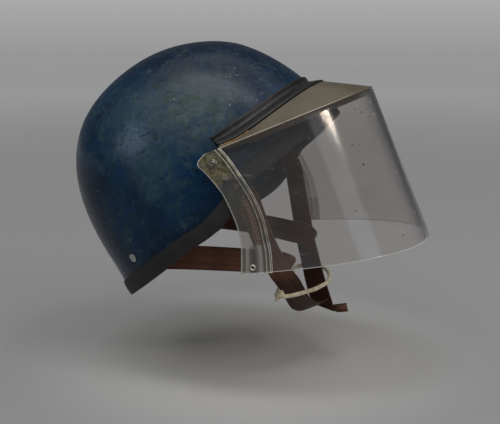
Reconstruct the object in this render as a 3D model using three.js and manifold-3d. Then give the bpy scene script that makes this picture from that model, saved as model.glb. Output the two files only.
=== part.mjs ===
// Riot helmet with a fixed clear visor and leather straps. Millimetres, +X to the face, +Y to the wearer's left,
// +Z up. The origin is the inside top of the crown, where a head holds it.
import * as THREE from "three";
import { mergeVertices } from "three/addons/utils/BufferGeometryUtils.js";
import Module from "manifold-3d";

const wasm = await Module();
wasm.setup();
const { Manifold, Mesh } = wasm;

// Fits
const clearance = 0.3;
const boreClearance = 0.25;

// Shell: a rounded dome, pitched back, in its own frame of forward, side and up from the middle of its rim
const pitchBack = 40.68;
const rearLength = 130.8;
const frontLength = 137.3;
const halfWidth = 119.0;
const domeHeight = 175.6;
const planRoundness = 2.044;
const profileRoundness = 2.396;
const crownLean = 0.038;
const shellWall = 3.5;
const turnSteps = 48;
const riseSteps = 14;

// How far the side view departs from the plain dome, by the angle round from the front, as a share of its size
const profileSwell = [
  { angle: 50, share: 0 },
  { angle: 65, share: -0.0138 },
  { angle: 80, share: -0.0103 },
  { angle: 95, share: -0.0025 },
  { angle: 110, share: 0.0042 },
  { angle: 125, share: 0.0029 },
  { angle: 140, share: -0.0011 },
  { angle: 154, share: 0 },
  { angle: 166, share: 0.012 },
  { angle: 180, share: 0.056 },
];

// The share of that departure which the width takes
const sideSwell = 0.3;

// Rim edging: a rubber channel over the shell's edge
const edgingWall = 1.8;
const edgingOuterLeg = 12.6;
const edgingInnerLeg = 8;
const edgingRound = 0.5;
// The edging's lower side above the rim plane, as a share of the dome's height, by the turn from the front
const rimLine = [
  { turn: 0, height: 0.051 },
  { turn: 35, height: 0.05 },
  { turn: 46, height: 0.0444 },
  { turn: 62, height: 0.0444 },
  { turn: 69, height: 0.0165 },
  { turn: 77, height: -0.018 },
  { turn: 87, height: -0.04 },
  { turn: 97, height: -0.029 },
  { turn: 110, height: -0.018 },
  { turn: 123, height: -0.012 },
  { turn: 137, height: -0.003 },
  { turn: 155, height: 0.001 },
  { turn: 180, height: 0.003 },
];

// Brow moulding, by the share of its half length from the middle: lip and ridge as shares of the dome's height,
// reach as a share of how far the lip stands off the shell in the middle
const mouldingEnd = 65;
const mouldingReach = 11.4;
const mouldingLine = [
  { along: 0, lip: 0.2346, ridge: 0.329, reach: 1 },
  { along: 0.39, lip: 0.238, ridge: 0.327, reach: 0.98 },
  { along: 0.62, lip: 0.239, ridge: 0.325, reach: 0.92 },
  { along: 0.8, lip: 0.242, ridge: 0.3295, reach: 0.84 },
  { along: 0.92, lip: 0.2525, ridge: 0.337, reach: 0.8 },
  { along: 1, lip: 0.277, ridge: 0.342, reach: 0.77 },
];
const mouldingSteps = 26;
const ridgeReach = 2.4;
const grooveReach = 1.5;
const grooveShare = 0.62;
const lipRound = 1.3;

// Visor: one sheet bent round an upright axis that leans forward at its foot, cut from a flat blank
const visorLean = 22.83;
const peakLength = 40.6;
const peakRise = 8.8;
const visorStandOff = 3.3;
const visorDepth = 177.3;
const visorSideRoundness = 2.11;
const visorFrontRoundness = 2.263;
const visorWall = 2.0;
const visorFrontDrop = 151.9;
const visorDropSlope = 0.2975;
const visorSteps = 36;
const visorRows = 5;

// Side strips on the visor's rear edges: down as a share of the strip's length, rear edge and front ridge as
// shares of the flare behind the waist, all measured on the flat blank from its middle
const stripWaist = 198.5;
const stripWidth = 24.2;
const stripFlare = 12.0;
const stripLine = [
  { down: -0.02, rear: -0.12, ridge: 1.06 },
  { down: 0.01, rear: 0.39, ridge: 0.96 },
  { down: 0.037, rear: 0.86, ridge: 0.86 },
  { down: 0.074, rear: 0.98, ridge: 0.73 },
  { down: 0.12, rear: 0.76, ridge: 0.6 },
  { down: 0.222, rear: 0.41, ridge: 0.38 },
  { down: 0.351, rear: 0.09, ridge: 0.14 },
  { down: 0.48, rear: 0, ridge: 0 },
  { down: 0.61, rear: 0, ridge: 0 },
  { down: 0.739, rear: 0.14, ridge: 0.18 },
  { down: 0.85, rear: 0.49, ridge: 0.38 },
  { down: 0.98, rear: 0.97, ridge: 0.79 },
  { down: 1.09, rear: 1.36, ridge: 1.17 },
];
const stripWall = 2.4;
const stripRidgeRise = 1.2;
const stripRidgePitch = 3.0;
const stripFoot = 1.6;
const stripRows = 16;

// Peak panel between the moulding's lip and the visor's crease, with a flange turned down inside the visor
const panelWall = 1.6;
const panelTuck = 5.5;
const flangeDrop = 4.5;
const flangeWall = 1.2;
const panelCrease = 187.5;
const panelSteps = 28;
// How fast the flange grows from the panel's ends
const flangeFade = 6;

// Fastenings through strip, visor, spacer and shell: bend and drop as shares of the strip's waist and length
const screw = { bend: 0.99, drop: 0.0925, head: 3.7, rise: 1.7, shank: 1.8 };
const pin = { bend: 0.9637, drop: 0.227, head: 2.9, rise: 1.0, shank: 1.5 };
const eyelet = { bend: 1.0015, drop: 0.976, flange: 2.7, bore: 1.3, barrel: 1.8, rise: 0.8 };
const rivet = { turn: 125.4, height: 0.1378, head: 4.2, rise: 1.3, shank: 1.7 };
const spacerRadius = 4.6;
const clenchRise = 1.6;
const clenchGap = 1.2;
const turnedSides = 12;
// Steps of the searches along a fastening's axis and over the shell's wall
const searchStep = 0.05;
const wallStep = 6;

// Leather straps: forward and down from the fixing that holds the strap, and side, as shares of the strap's reach,
// its depth and the fixing's own side, then the lean of its width in the side view, its swing to the left and its
// width as a share
const strapWidth = 22;
const strapWall = 2.2;
// How far the shell's flat facets may stand inside its true curve
const facetSlack = 1.1;
const chinReach = 55;
const chinDepth = 144.8;
const chinHold = [
  { forward: -0.063, down: -0.071, lean: 36 },
  { forward: 0.024, down: 0, lean: 34 },
  { forward: 0.164, down: 0.084, lean: 31 },
];
const chinCheek = [
  { forward: 0.288, side: 0.889, down: 0.157, lean: 28, swing: 9, share: 0.95 },
  { forward: 0.468, side: 0.772, down: 0.408, lean: 29, swing: 2, share: 0.95 },
  { forward: 0.649, side: 0.606, down: 0.627, lean: 30, swing: 3, share: 0.96 },
];
const chinUnder = [
  { forward: 0.797, side: 0.471, down: 0.756, lean: 35, swing: 8, share: 0.97 },
  { forward: 0.864, side: 0.364, down: 0.851, lean: 34, swing: 14, share: 0.96 },
  { forward: 0.904, side: 0.256, down: 0.926, lean: 30, swing: 20, share: 0.96 },
  { forward: 0.978, side: 0.13, down: 0.979, lean: 24, swing: 26, share: 0.94 },
  { forward: 1.068, side: 0, down: 1, lean: 20, swing: 27, share: 0.9 },
  { forward: 1.128, side: -0.081, down: 1, lean: 22, swing: 26, share: 0.86 },
];
const chinTail = [
  { forward: 0.791, side: 0.485, down: 0.756, lean: 32, swing: 3, share: 0.97 },
  { forward: 0.909, side: 0.4, down: 0.876, lean: 31, swing: 1, share: 0.99 },
  { forward: 1.024, side: 0.328, down: 0.973, lean: 27, swing: 4, share: 1 },
  { forward: 1.137, side: 0.233, down: 1.021, lean: 18, swing: 16, share: 0.98 },
  { forward: 1.264, side: 0.108, down: 1.035, lean: 4, swing: 38, share: 0.98 },
  { forward: 1.373, side: 0.04, down: 1.025, lean: 4, swing: 56, share: 1 },
  { forward: 1.515, side: 0.013, down: 1.011, lean: 2, swing: 70, share: 1.02 },
  { forward: 1.664, side: 0.009, down: 0.998, lean: -4, swing: 79, share: 1.02 },
];
const napeReach = 144.3;
// The rows against the shell's wall: forward as a share of the reach, and inward as a share of the strap's wall
const napeHold = [
  { forward: -0.031, inward: 0 },
  { forward: 0, inward: 0 },
  { forward: 0.048, inward: 0.14 },
  { forward: 0.113, inward: 1.1 },
];
const napeLean = 89;
const napeCheek = [
  { forward: 0.2, side: 0.938, down: -0.006, lean: 89, swing: 2, share: 1.03 },
  { forward: 0.419, side: 0.867, down: -0.004, lean: 89, swing: -1, share: 1.04 },
  { forward: 0.653, side: 0.767, down: 0.011, lean: 89, swing: -6, share: 1.05 },
  { forward: 0.799, side: 0.696, down: 0.023, lean: 88, swing: -14, share: 1.05 },
  { forward: 0.908, side: 0.639, down: 0.027, lean: 88, swing: -20, share: 1.02 },
  { forward: 0.967, side: 0.601, down: 0.027, lean: 90, swing: -21, share: 0.72 },
  { forward: 1, side: 0.578, down: 0.016, lean: 88, swing: -20, share: 0.2 },
];

// Tie cord: a loop round both chin straps, from the knot over the right strap, past the front and back inside
const cordRadius = 2.1;
const cordSides = 8;
const cordSteps = 40;
const knotPlace = { x: 80.7, y: -60.5, z: -229.9 };
const knotSize = { x: 5.8, y: 5.4, z: 6.2 };
const cordRoute = [
  { x: 86.9, y: -58.2, z: -231.2 },
  { x: 91.5, y: -54.8, z: -231.1 },
  { x: 97.0, y: -49.5, z: -230.6 },
  { x: 103.0, y: -42.0, z: -230.1 },
  { x: 108.6, y: -31.5, z: -230.3 },
  { x: 113.0, y: -18.0, z: -230.5 },
  { x: 116.2, y: -4.0, z: -230.6 },
  { x: 116.6, y: 10.0, z: -230.2 },
  { x: 114.2, y: 25.0, z: -230.0 },
  { x: 109.6, y: 40.0, z: -230.0 },
  { x: 102.6, y: 52.0, z: -230.0 },
  { x: 92.5, y: 59.0, z: -230.4 },
  { x: 82.0, y: 60.5, z: -231.0 },
  { x: 75.6, y: 54.5, z: -231.6 },
  { x: 73.4, y: 42.0, z: -232.2 },
  { x: 72.4, y: 20.0, z: -233.4 },
  { x: 72.4, y: 0, z: -234.0 },
  { x: 72.8, y: -20.0, z: -233.6 },
  { x: 75.0, y: -39.0, z: -232.4 },
  { x: 76.8, y: -54.6, z: -231.0 },
];

const group = new THREE.Group();
group.name = "riot_helmet";

// Helpers
const radians = THREE.MathUtils.degToRad;
const power = (value, exponent) => Math.sign(value) * Math.abs(value) ** exponent;

// The value of a table's column where its key column equals at, on a smooth curve through the rows
function readTable(rows, key, column, at) {
  const last = rows.length - 1;
  if (at <= rows[0][key]) return rows[0][column];
  if (at >= rows[last][key]) return rows[last][column];
  let i = 0;
  while (rows[i + 1][key] < at) i += 1;
  const slope = (j) => {
    const low = rows[Math.max(j - 1, 0)];
    const high = rows[Math.min(j + 1, last)];
    return (high[column] - low[column]) / (high[key] - low[key]);
  };
  const span = rows[i + 1][key] - rows[i][key];
  const t = (at - rows[i][key]) / span;
  const t2 = t * t;
  const t3 = t2 * t;
  return (
    (2 * t3 - 3 * t2 + 1) * rows[i][column] +
    (t3 - 2 * t2 + t) * span * slope(i) +
    (3 * t2 - 2 * t3) * rows[i + 1][column] +
    (t3 - t2) * span * slope(i + 1)
  );
}

function geometryOf(points, triangles) {
  const geometry = new THREE.BufferGeometry();
  const flat = new Float32Array(points.flatMap((p) => [p.x, p.y, p.z]));
  geometry.setAttribute("position", new THREE.BufferAttribute(flat, 3));
  geometry.setIndex(triangles.flat());
  return geometry;
}

function signedVolume(points, triangles) {
  const cross = new THREE.Vector3();
  return triangles.reduce((sum, [a, b, c]) => {
    return sum + points[a].dot(cross.crossVectors(points[b], points[c])) / 6;
  }, 0);
}

// A closed body through sections, each a closed ring of the same number of points, capped at both ends
function loft(sections, closedPath = false) {
  const ring = sections[0].length;
  const points = sections.flat();
  const triangles = [];
  const spans = closedPath ? sections.length : sections.length - 1;
  for (let i = 0; i < spans; i += 1) {
    const here = i * ring;
    const next = ((i + 1) % sections.length) * ring;
    for (let j = 0; j < ring; j += 1) {
      const k = (j + 1) % ring;
      triangles.push([here + j, next + j, next + k], [here + j, next + k, here + k]);
    }
  }
  if (!closedPath) {
    const flat = capOf(sections[0]);
    const end = (sections.length - 1) * ring;
    flat.forEach(([a, b, c]) => triangles.push([a, b, c]));
    const far = capOf(sections[sections.length - 1]);
    far.forEach(([a, b, c]) => triangles.push([end + a, end + c, end + b]));
  }
  if (signedVolume(points, triangles) < 0) triangles.forEach((t) => t.reverse());
  return geometryOf(points, triangles);
}

// Triangles of a flat ring, wound so that they close the side walls that loft makes
function capOf(ring) {
  const centre = ring.reduce((sum, p) => sum.add(p), new THREE.Vector3()).divideScalar(ring.length);
  const normal = new THREE.Vector3();
  ring.forEach((p, i) => {
    const q = ring[(i + 1) % ring.length];
    normal.add(new THREE.Vector3().crossVectors(p.clone().sub(centre), q.clone().sub(centre)));
  });
  normal.normalize();
  const across = ring[1].clone().sub(ring[0]).normalize();
  const up = new THREE.Vector3().crossVectors(normal, across).normalize();
  const flat = ring.map((p) => new THREE.Vector2(p.clone().sub(centre).dot(across), p.clone().sub(centre).dot(up)));
  return THREE.ShapeUtils.triangulateShape(flat, []).map(([a, b, c]) => [a, b, c]);
}

// A closed sheet from an outer and an inner grid of points, rows by columns, joined round their borders
function sheetOf(outer, inner) {
  const rows = outer.length;
  const columns = outer[0].length;
  const points = [...outer.flat(), ...inner.flat()];
  const half = rows * columns;
  const triangles = [];
  for (let i = 0; i < rows - 1; i += 1) {
    for (let j = 0; j < columns - 1; j += 1) {
      const a = i * columns + j;
      const b = a + 1;
      const c = a + columns;
      const d = c + 1;
      triangles.push([a, b, d], [a, d, c]);
      triangles.push([half + a, half + d, half + b], [half + a, half + c, half + d]);
    }
  }
  const border = [];
  for (let j = 0; j < columns - 1; j += 1) border.push(j);
  for (let i = 0; i < rows - 1; i += 1) border.push(i * columns + columns - 1);
  for (let j = columns - 1; j > 0; j -= 1) border.push((rows - 1) * columns + j);
  for (let i = rows - 1; i > 0; i -= 1) border.push(i * columns);
  border.forEach((a, i) => {
    const b = border[(i + 1) % border.length];
    triangles.push([a, half + a, half + b], [a, half + b, b]);
  });
  if (signedVolume(points, triangles) < 0) triangles.forEach((t) => t.reverse());
  return geometryOf(points, triangles);
}

function solidOf(geometry) {
  const plain = new THREE.BufferGeometry();
  plain.setAttribute("position", geometry.getAttribute("position").clone());
  if (geometry.index) plain.setIndex(geometry.index.clone());
  const merged = mergeVertices(plain, 1e-4);
  const vertProperties = new Float32Array(merged.getAttribute("position").array);
  const triVerts = new Uint32Array(merged.index.array);
  return new Manifold(new Mesh({ numProp: 3, vertProperties, triVerts }));
}

function geometryOfSolid(solid) {
  const mesh = solid.getMesh();
  const geometry = new THREE.BufferGeometry();
  geometry.setAttribute("position", new THREE.BufferAttribute(new Float32Array(mesh.vertProperties), 3));
  geometry.setIndex(new THREE.BufferAttribute(new Uint32Array(mesh.triVerts), 1));
  return geometry;
}

function bored(geometry, cutters) {
  let solid = solidOf(geometry);
  cutters.forEach((cutter) => {
    solid = solid.subtract(solidOf(cutter));
  });
  return geometryOfSolid(solid);
}

function addNode(name, geometry, color, extra = {}) {
  const material = new THREE.MeshStandardMaterial({ color, name: `${name}_finish`, ...extra });
  const mesh = new THREE.Mesh(geometry, material);
  mesh.name = name;
  group.add(mesh);
}

// The same geometry on the other side of the middle plane
function mirrored(geometry) {
  const other = geometry.index ? geometry.clone() : mergeVertices(geometry.clone());
  const position = other.getAttribute("position");
  for (let i = 0; i < position.count; i += 1) position.setY(i, -position.getY(i));
  const index = Array.from(other.index.array);
  for (let i = 0; i < index.length; i += 3) [index[i + 1], index[i + 2]] = [index[i + 2], index[i + 1]];
  other.setIndex(index);
  return other;
}

function addPair(name, geometry, color, extra) {
  addNode(`${name}_right`, geometry, color, extra);
  addNode(`${name}_left`, mirrored(geometry), color, extra);
}

// A turned body about an axis from a base point, from a profile of radius and height pairs
function turned(profile, base, axis) {
  const shape = profile.map(([radius, height]) => new THREE.Vector2(radius, height));
  const geometry = new THREE.LatheGeometry(shape, turnedSides);
  const spin = new THREE.Quaternion().setFromUnitVectors(new THREE.Vector3(0, 1, 0), axis.clone().normalize());
  geometry.applyQuaternion(spin);
  geometry.translate(base.x, base.y, base.z);
  geometry.deleteAttribute("normal");
  geometry.deleteAttribute("uv");
  const merged = mergeVertices(geometry, 1e-4);
  const kept = [];
  const index = merged.index.array;
  for (let i = 0; i < index.length; i += 3) {
    const [a, b, c] = [index[i], index[i + 1], index[i + 2]];
    if (a !== b && b !== c && c !== a) kept.push([a, b, c]);
  }
  const position = merged.getAttribute("position");
  const points = [];
  for (let i = 0; i < position.count; i += 1) points.push(new THREE.Vector3().fromBufferAttribute(position, i));
  if (signedVolume(points, kept) < 0) kept.forEach((t) => t.reverse());
  return geometryOf(points, kept);
}

// Shell surface: a point by the turn from the front in degrees and the height over the rim plane
const pitchCos = Math.cos(radians(pitchBack));
const pitchSin = Math.sin(radians(pitchBack));

const shellCentre = { x: 0, z: 0 };

function helmetPoint(forward, side, up) {
  return new THREE.Vector3(
    shellCentre.x + forward * pitchCos - up * pitchSin,
    side,
    shellCentre.z + forward * pitchSin + up * pitchCos,
  );
}

function domeByRise(turn, rise) {
  const up = domeHeight * power(Math.sin(rise), 2 / profileRoundness);
  const reach = Math.max(Math.cos(rise), 0) ** (2 / profileRoundness);
  const along = power(Math.cos(radians(turn)), 2 / planRoundness);
  const across = power(Math.sin(radians(turn)), 2 / planRoundness);
  const length = along > 0 ? frontLength : rearLength;
  const forward = length * reach * along + rearLength * crownLean * (-up / domeHeight);
  const side = halfWidth * reach * across;
  const angle = THREE.MathUtils.radToDeg(Math.atan2(up, forward)) + (forward < 0 && up < 0 ? 360 : 0);
  const centred = Math.max(1 - (side / halfWidth) ** 2, 0);
  const swell = readTable(profileSwell, "angle", "share", angle) * centred;
  return helmetPoint(forward * (1 + swell), side * (1 + sideSwell * swell), up * (1 + swell));
}

const riseOf = (height) => Math.asin(power(height / domeHeight, profileRoundness / 2));

function domeNormal(turn, rise) {
  const step = 0.002;
  if (rise > Math.PI / 2 - 0.02) return helmetPoint(0, 0, 1).sub(helmetPoint(0, 0, 0)).normalize();
  const degrees = THREE.MathUtils.radToDeg(step);
  const aside = domeByRise(turn + degrees, rise).sub(domeByRise(turn - degrees, rise));
  const upward = domeByRise(turn, rise + step).sub(domeByRise(turn, rise - step));
  return aside.cross(upward).normalize();
}

function onShell(turn, height, out) {
  const rise = riseOf(height);
  return domeByRise(turn, rise).addScaledVector(domeNormal(turn, rise), out);
}

// The head's seat, the highest point inside the crown, is the origin
const seat = { x: 0, z: -Infinity };
for (let rise = 0.3; rise < Math.PI / 2; rise += 0.002) {
  const point = domeByRise(0, rise).addScaledVector(domeNormal(0, rise), -shellWall);
  if (point.z > seat.z) Object.assign(seat, { x: point.x, z: point.z });
}
for (let rise = 0.3; rise < Math.PI / 2; rise += 0.002) {
  const point = domeByRise(180, rise).addScaledVector(domeNormal(180, rise), -shellWall);
  if (point.z > seat.z) Object.assign(seat, { x: point.x, z: point.z });
}
shellCentre.x = -seat.x;
shellCentre.z = -seat.z;

// The edging's foot is its wall and a clearance below the shell's own edge
const shellEdge = (turn) => {
  const folded = Math.abs(turn) > 180 ? 360 - Math.abs(turn) : Math.abs(turn);
  return domeHeight * readTable(rimLine, "turn", "height", folded) + edgingWall + clearance;
};

// Rows of the dome: at the edge, at the tops of the edging's two legs, then evenly to the crown
function domeRing(out, row, turns) {
  return turns.map((turn) => {
    const edge = shellEdge(turn);
    const legs = [edge, edge + edgingInnerLeg, edge + edgingOuterLeg];
    const last = legs.length - 1;
    const level = Math.max(row - last, 0) / (riseSteps - last);
    const low = riseOf(legs[Math.min(row, last)]);
    const rise = low + (Math.PI / 2 - low) * level;
    return domeByRise(turn, rise).addScaledVector(domeNormal(turn, rise), out);
  });
}

const turns = Array.from({ length: turnSteps }, (_, i) => (360 * i) / turnSteps - 180);

// A dome body between two offsets, or a filled one when inner is null
function domeBody(out, inner) {
  const points = [];
  const triangles = [];
  const skins = inner === null ? [out] : [out, inner];
  skins.forEach((offset, skin) => {
    const first = points.length;
    for (let i = 0; i < riseSteps; i += 1) points.push(...domeRing(offset, i, turns));
    const pole = points.length;
    points.push(domeByRise(0, Math.PI / 2).addScaledVector(domeNormal(0, Math.PI / 2), offset));
    for (let i = 0; i < riseSteps; i += 1) {
      for (let j = 0; j < turnSteps; j += 1) {
        const k = (j + 1) % turnSteps;
        const a = first + i * turnSteps + j;
        const b = first + i * turnSteps + k;
        const c = i + 1 < riseSteps ? a + turnSteps : pole;
        const d = i + 1 < riseSteps ? b + turnSteps : pole;
        const faces = c === d ? [[a, b, c]] : [[a, b, d], [a, d, c]];
        faces.forEach(([p, q, r]) => triangles.push(skin === 0 ? [p, q, r] : [p, r, q]));
      }
    }
  });
  const second = riseSteps * turnSteps + 1;
  if (inner === null) {
    const middle = points.length;
    points.push(helmetPoint(0, 0, 0));
    for (let j = 0; j < turnSteps; j += 1) triangles.push([(j + 1) % turnSteps, j, middle]);
  } else {
    for (let j = 0; j < turnSteps; j += 1) {
      const k = (j + 1) % turnSteps;
      triangles.push([j, second + j, second + k], [j, second + k, k]);
    }
  }
  if (signedVolume(points, triangles) < 0) triangles.forEach((t) => t.reverse());
  return geometryOf(points, triangles);
}

// Rim edging, a channel round the whole edge
const edgingSection = [
  { out: clearance, up: edgingOuterLeg },
  { out: clearance + edgingWall, up: edgingOuterLeg - 2 * edgingRound },
  { out: clearance + edgingWall, up: -clearance - edgingRound },
  { out: clearance - edgingRound, up: -clearance - edgingWall },
  { out: -shellWall - clearance + edgingRound, up: -clearance - edgingWall },
  { out: -shellWall - clearance - edgingWall, up: -clearance - edgingRound },
  { out: -shellWall - clearance - edgingWall, up: edgingInnerLeg },
  { out: -shellWall - clearance, up: edgingInnerLeg },
  { out: -shellWall - clearance, up: -clearance },
  { out: clearance, up: -clearance },
  { out: clearance, up: edgingInnerLeg },
];
const edging = loft(
  turns.map((turn) => edgingSection.map(({ out, up }) => onShell(turn, shellEdge(turn) + up, out))),
  true,
);

// Brow moulding
const mouldingTurns = Array.from(
  { length: mouldingSteps + 1 },
  (_, i) => mouldingEnd * ((2 * i) / mouldingSteps - 1),
);

function lipAt(turn) {
  const along = Math.abs(turn) / mouldingEnd;
  return {
    height: domeHeight * readTable(mouldingLine, "along", "lip", along),
    ridge: domeHeight * readTable(mouldingLine, "along", "ridge", along),
    reach: mouldingReach * readTable(mouldingLine, "along", "reach", along),
  };
}

function mouldingSection(turn) {
  const { height, ridge, reach } = lipAt(turn);
  const groove = height + grooveShare * (ridge - height);
  const midway = (height + groove) / 2;
  return [
    onShell(turn, ridge - ridgeReach / 3, clearance),
    onShell(turn, ridge, 0.6 * ridgeReach),
    onShell(turn, ridge - ridgeReach / 2, ridgeReach),
    onShell(turn, ridge - 1.25 * ridgeReach, 0.9 * ridgeReach),
    onShell(turn, groove, grooveReach),
    onShell(turn, midway, 0.45 * (grooveReach + reach)),
    onShell(turn, height + lipRound, reach),
    onShell(turn, height, reach),
    onShell(turn, height - lipRound / 6, reach - 1.2 * lipRound),
    onShell(turn, height, clearance),
  ];
}
const moulding = loft(mouldingTurns.map(mouldingSection));

// Visor sheet: a point by the distance round the bend from the middle, the drop from the crease and the offset out
const visorForward = new THREE.Vector3(Math.cos(radians(visorLean)), 0, Math.sin(radians(visorLean)));
const visorDown = new THREE.Vector3(Math.sin(radians(visorLean)), 0, -Math.cos(radians(visorLean)));
const visorHalfWidth = halfWidth + visorStandOff;
const visorCrown = helmetPoint(frontLength + peakLength, 0, peakRise);
const bendSteps = 1500;
const bendLine = [];
for (let i = 0; i <= bendSteps; i += 1) {
  const angle = (Math.PI / 2) * (i / bendSteps);
  const back = visorDepth * (1 - Math.cos(angle) ** (2 / visorFrontRoundness));
  const side = visorHalfWidth * Math.sin(angle) ** (2 / visorSideRoundness);
  const before = bendLine[i - 1];
  const bend = before ? before.bend + Math.hypot(back - before.back, side - before.side) : 0;
  bendLine.push({ back, side, bend });
}

function bendAt(bend) {
  const at = Math.abs(bend);
  let low = 0;
  let high = bendSteps;
  while (high - low > 1) {
    const middle = (low + high) >> 1;
    if (bendLine[middle].bend < at) low = middle;
    else high = middle;
  }
  const a = bendLine[low];
  const b = bendLine[high];
  const t = Math.min((at - a.bend) / (b.bend - a.bend), 1);
  return {
    back: a.back + (b.back - a.back) * t,
    side: Math.sign(bend || 1) * (a.side + (b.side - a.side) * t),
  };
}

function onVisor(bend, drop, out) {
  const here = bendAt(bend);
  const low = bendAt(bend - 1);
  const high = bendAt(bend + 1);
  const direction = visorForward.clone().multiplyScalar(high.side - low.side);
  direction.y = high.back - low.back;
  direction.normalize();
  return visorCrown
    .clone()
    .addScaledVector(visorForward, -here.back)
    .setY(here.side)
    .addScaledVector(visorDown, drop)
    .addScaledVector(direction, out);
}

const visorFoot = (bend) => visorFrontDrop - visorDropSlope * bendAt(bend).back;
const stripLength = visorFoot(stripWaist + stripFlare);
const rearEdge = (drop) => stripWaist + stripFlare * readTable(stripLine, "down", "rear", drop / stripLength);
const ridgeEdge = (drop) => {
  const waist = stripWaist - stripWidth + stripRidgePitch + stripFoot;
  return waist + stripFlare * readTable(stripLine, "down", "ridge", drop / stripLength);
};

const visorTop = panelWall + clearance;

function visorGrid(out) {
  const rows = [];
  for (let i = 0; i <= visorRows; i += 1) {
    const row = [];
    for (let j = 0; j <= visorSteps; j += 1) {
      const share = (2 * j) / visorSteps - 1;
      let drop = visorTop;
      let bend = 0;
      for (let pass = 0; pass < 4; pass += 1) {
        bend = share * rearEdge(drop);
        drop = visorTop + ((visorFoot(bend) - visorTop) * i) / visorRows;
      }
      row.push(onVisor(bend, drop, out));
    }
    rows.push(row);
  }
  return rows;
}
const visorSheet = sheetOf(visorGrid(0), visorGrid(-visorWall));

// Peak panel
function panelSection(share) {
  const turn = mouldingEnd * share;
  const { height, reach } = lipAt(turn);
  const bend = panelCrease * share;
  const under = height - lipRound / 3 - clearance;
  const tuck = Math.min(panelTuck, reach - 1.25 * panelWall);
  const fade = Math.min(1, (1 - Math.abs(share)) * flangeFade);
  const step = panelWall / 4;
  const drop = panelWall + step + (flangeDrop - step) * fade;
  const inner = -visorWall - clearance;
  return [
    onShell(turn, under, reach - tuck),
    onShell(turn, under - step / 4, reach + step / 2),
    onVisor(bend, 0, -step),
    onVisor(bend, step, 0),
    onVisor(bend, panelWall, 0),
    onVisor(bend, panelWall, inner),
    onVisor(bend, drop, inner),
    onVisor(bend, drop, inner - flangeWall),
    onVisor(bend, panelWall + step / 2, inner - flangeWall),
    onShell(turn, under - panelWall, reach - tuck + step),
  ];
}
const panel = loft(Array.from({ length: panelSteps + 1 }, (_, i) => panelSection((2 * i) / panelSteps - 1)));

// Side strip on the outside of the visor, here on the wearer's right
function stripSection(level) {
  const drop = stripLength * level;
  const rear = rearEdge(drop);
  const ridge = ridgeEdge(drop);
  const front = ridge - stripRidgePitch - stripFoot;
  const crest = stripWall + stripRidgeRise;
  const half = stripRidgePitch / 2;
  const skew = (bend) => drop + level * visorDropSlope * (bendAt(rear).back - bendAt(bend).back);
  const at = (bend, out) => onVisor(-bend, skew(bend), out);
  return [
    at(rear, clearance),
    at(rear, 0.75 * stripWall),
    at(rear - 0.3 * stripWall, stripWall),
    at(ridge + half, stripWall),
    at(ridge, crest),
    at(ridge - half, stripWall),
    at(ridge - stripRidgePitch, crest),
    at(front, 0.8 * stripWall),
    at(front, clearance),
    at((rear + front) / 2, clearance),
  ];
}
const stripSheet = loft(Array.from({ length: stripRows + 1 }, (_, i) => stripSection(i / stripRows)));

// Bores and fastenings, made on the wearer's right
function fixingAt(fixing) {
  const bend = -fixing.bend * stripWaist;
  const drop = fixing.drop * stripLength;
  const point = onVisor(bend, drop, 0);
  const outward = onVisor(bend, drop, 1).sub(point);
  return { point, outward };
}

function boreOf(fixing, radius, inward, outward) {
  const place = fixingAt(fixing);
  const base = place.point.clone().addScaledVector(place.outward, -inward);
  return turned([[0, 0], [radius, 0], [radius, inward + outward], [0, inward + outward]], base, place.outward);
}

const filledDome = solidOf(domeBody(clearance, null));

// Under 1 inside the dome's outer skin and over 1 outside it
function domeShare(p) {
  const dx = p.x - shellCentre.x;
  const dz = p.z - shellCentre.z;
  const up = -dx * pitchSin + dz * pitchCos;
  const forward = dx * pitchCos + dz * pitchSin + (rearLength * crownLean * up) / domeHeight;
  const length = forward > 0 ? frontLength : rearLength;
  const plan = Math.abs(forward / length) ** planRoundness + Math.abs(p.y / halfWidth) ** planRoundness;
  return plan ** (profileRoundness / planRoundness) + Math.abs(up / domeHeight) ** profileRoundness;
}

// The distance from the visor's outer face in to the shell, along the fastening's axis
function depthToShell(fixing) {
  const place = fixingAt(fixing);
  let depth = visorWall;
  while (domeShare(place.point.clone().addScaledVector(place.outward, -depth)) > 1) depth += searchStep;
  return depth;
}

// A strap row against the shell's inner face on the wearer's right, at a depth in from the outer skin
function rowOnWall(x, z, lean, share, depth) {
  const sideAt = (dx, dz) => {
    let y = -halfWidth;
    while (domeShare({ x: x + dx, y, z: z + dz }) > 1) y += searchStep;
    return y;
  };
  const rise = (sideAt(0, wallStep) - sideAt(0, -wallStep)) / (2 * wallStep);
  const run = (sideAt(wallStep, 0) - sideAt(-wallStep, 0)) / (2 * wallStep);
  const tilt = run * Math.cos(radians(lean)) + rise * Math.sin(radians(lean));
  const y = sideAt(0, 0) + depth * Math.hypot(1, rise, run);
  return { x, y, z, lean, swing: THREE.MathUtils.radToDeg(Math.atan(tilt)), share };
}

function fastening(fixing, slotted, held) {
  const place = fixingAt(fixing);
  const rest = stripWall + clearance;
  const top = rest + fixing.rise;
  const clench = depthToShell(fixing) + shellWall + held;
  const domed = [[fixing.head, rest + fixing.rise * 0.5], [fixing.head * 0.6, top], [0, top]];
  const ledge = rest + fixing.rise / 3;
  const ringed = [[fixing.head, ledge], [fixing.head * 0.6, ledge], [fixing.head * 0.6, top], [0, top]];
  const profile = [
    [0, -clench - clenchRise],
    [fixing.shank * 1.7, -clench - clenchRise * 0.6],
    [fixing.shank * 1.7, -clench],
    [fixing.shank, -clench],
    [fixing.shank, rest],
    [fixing.head, rest],
    ...(slotted ? ringed : domed),
  ];
  return turned(profile, place.point, place.outward);
}

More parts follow.
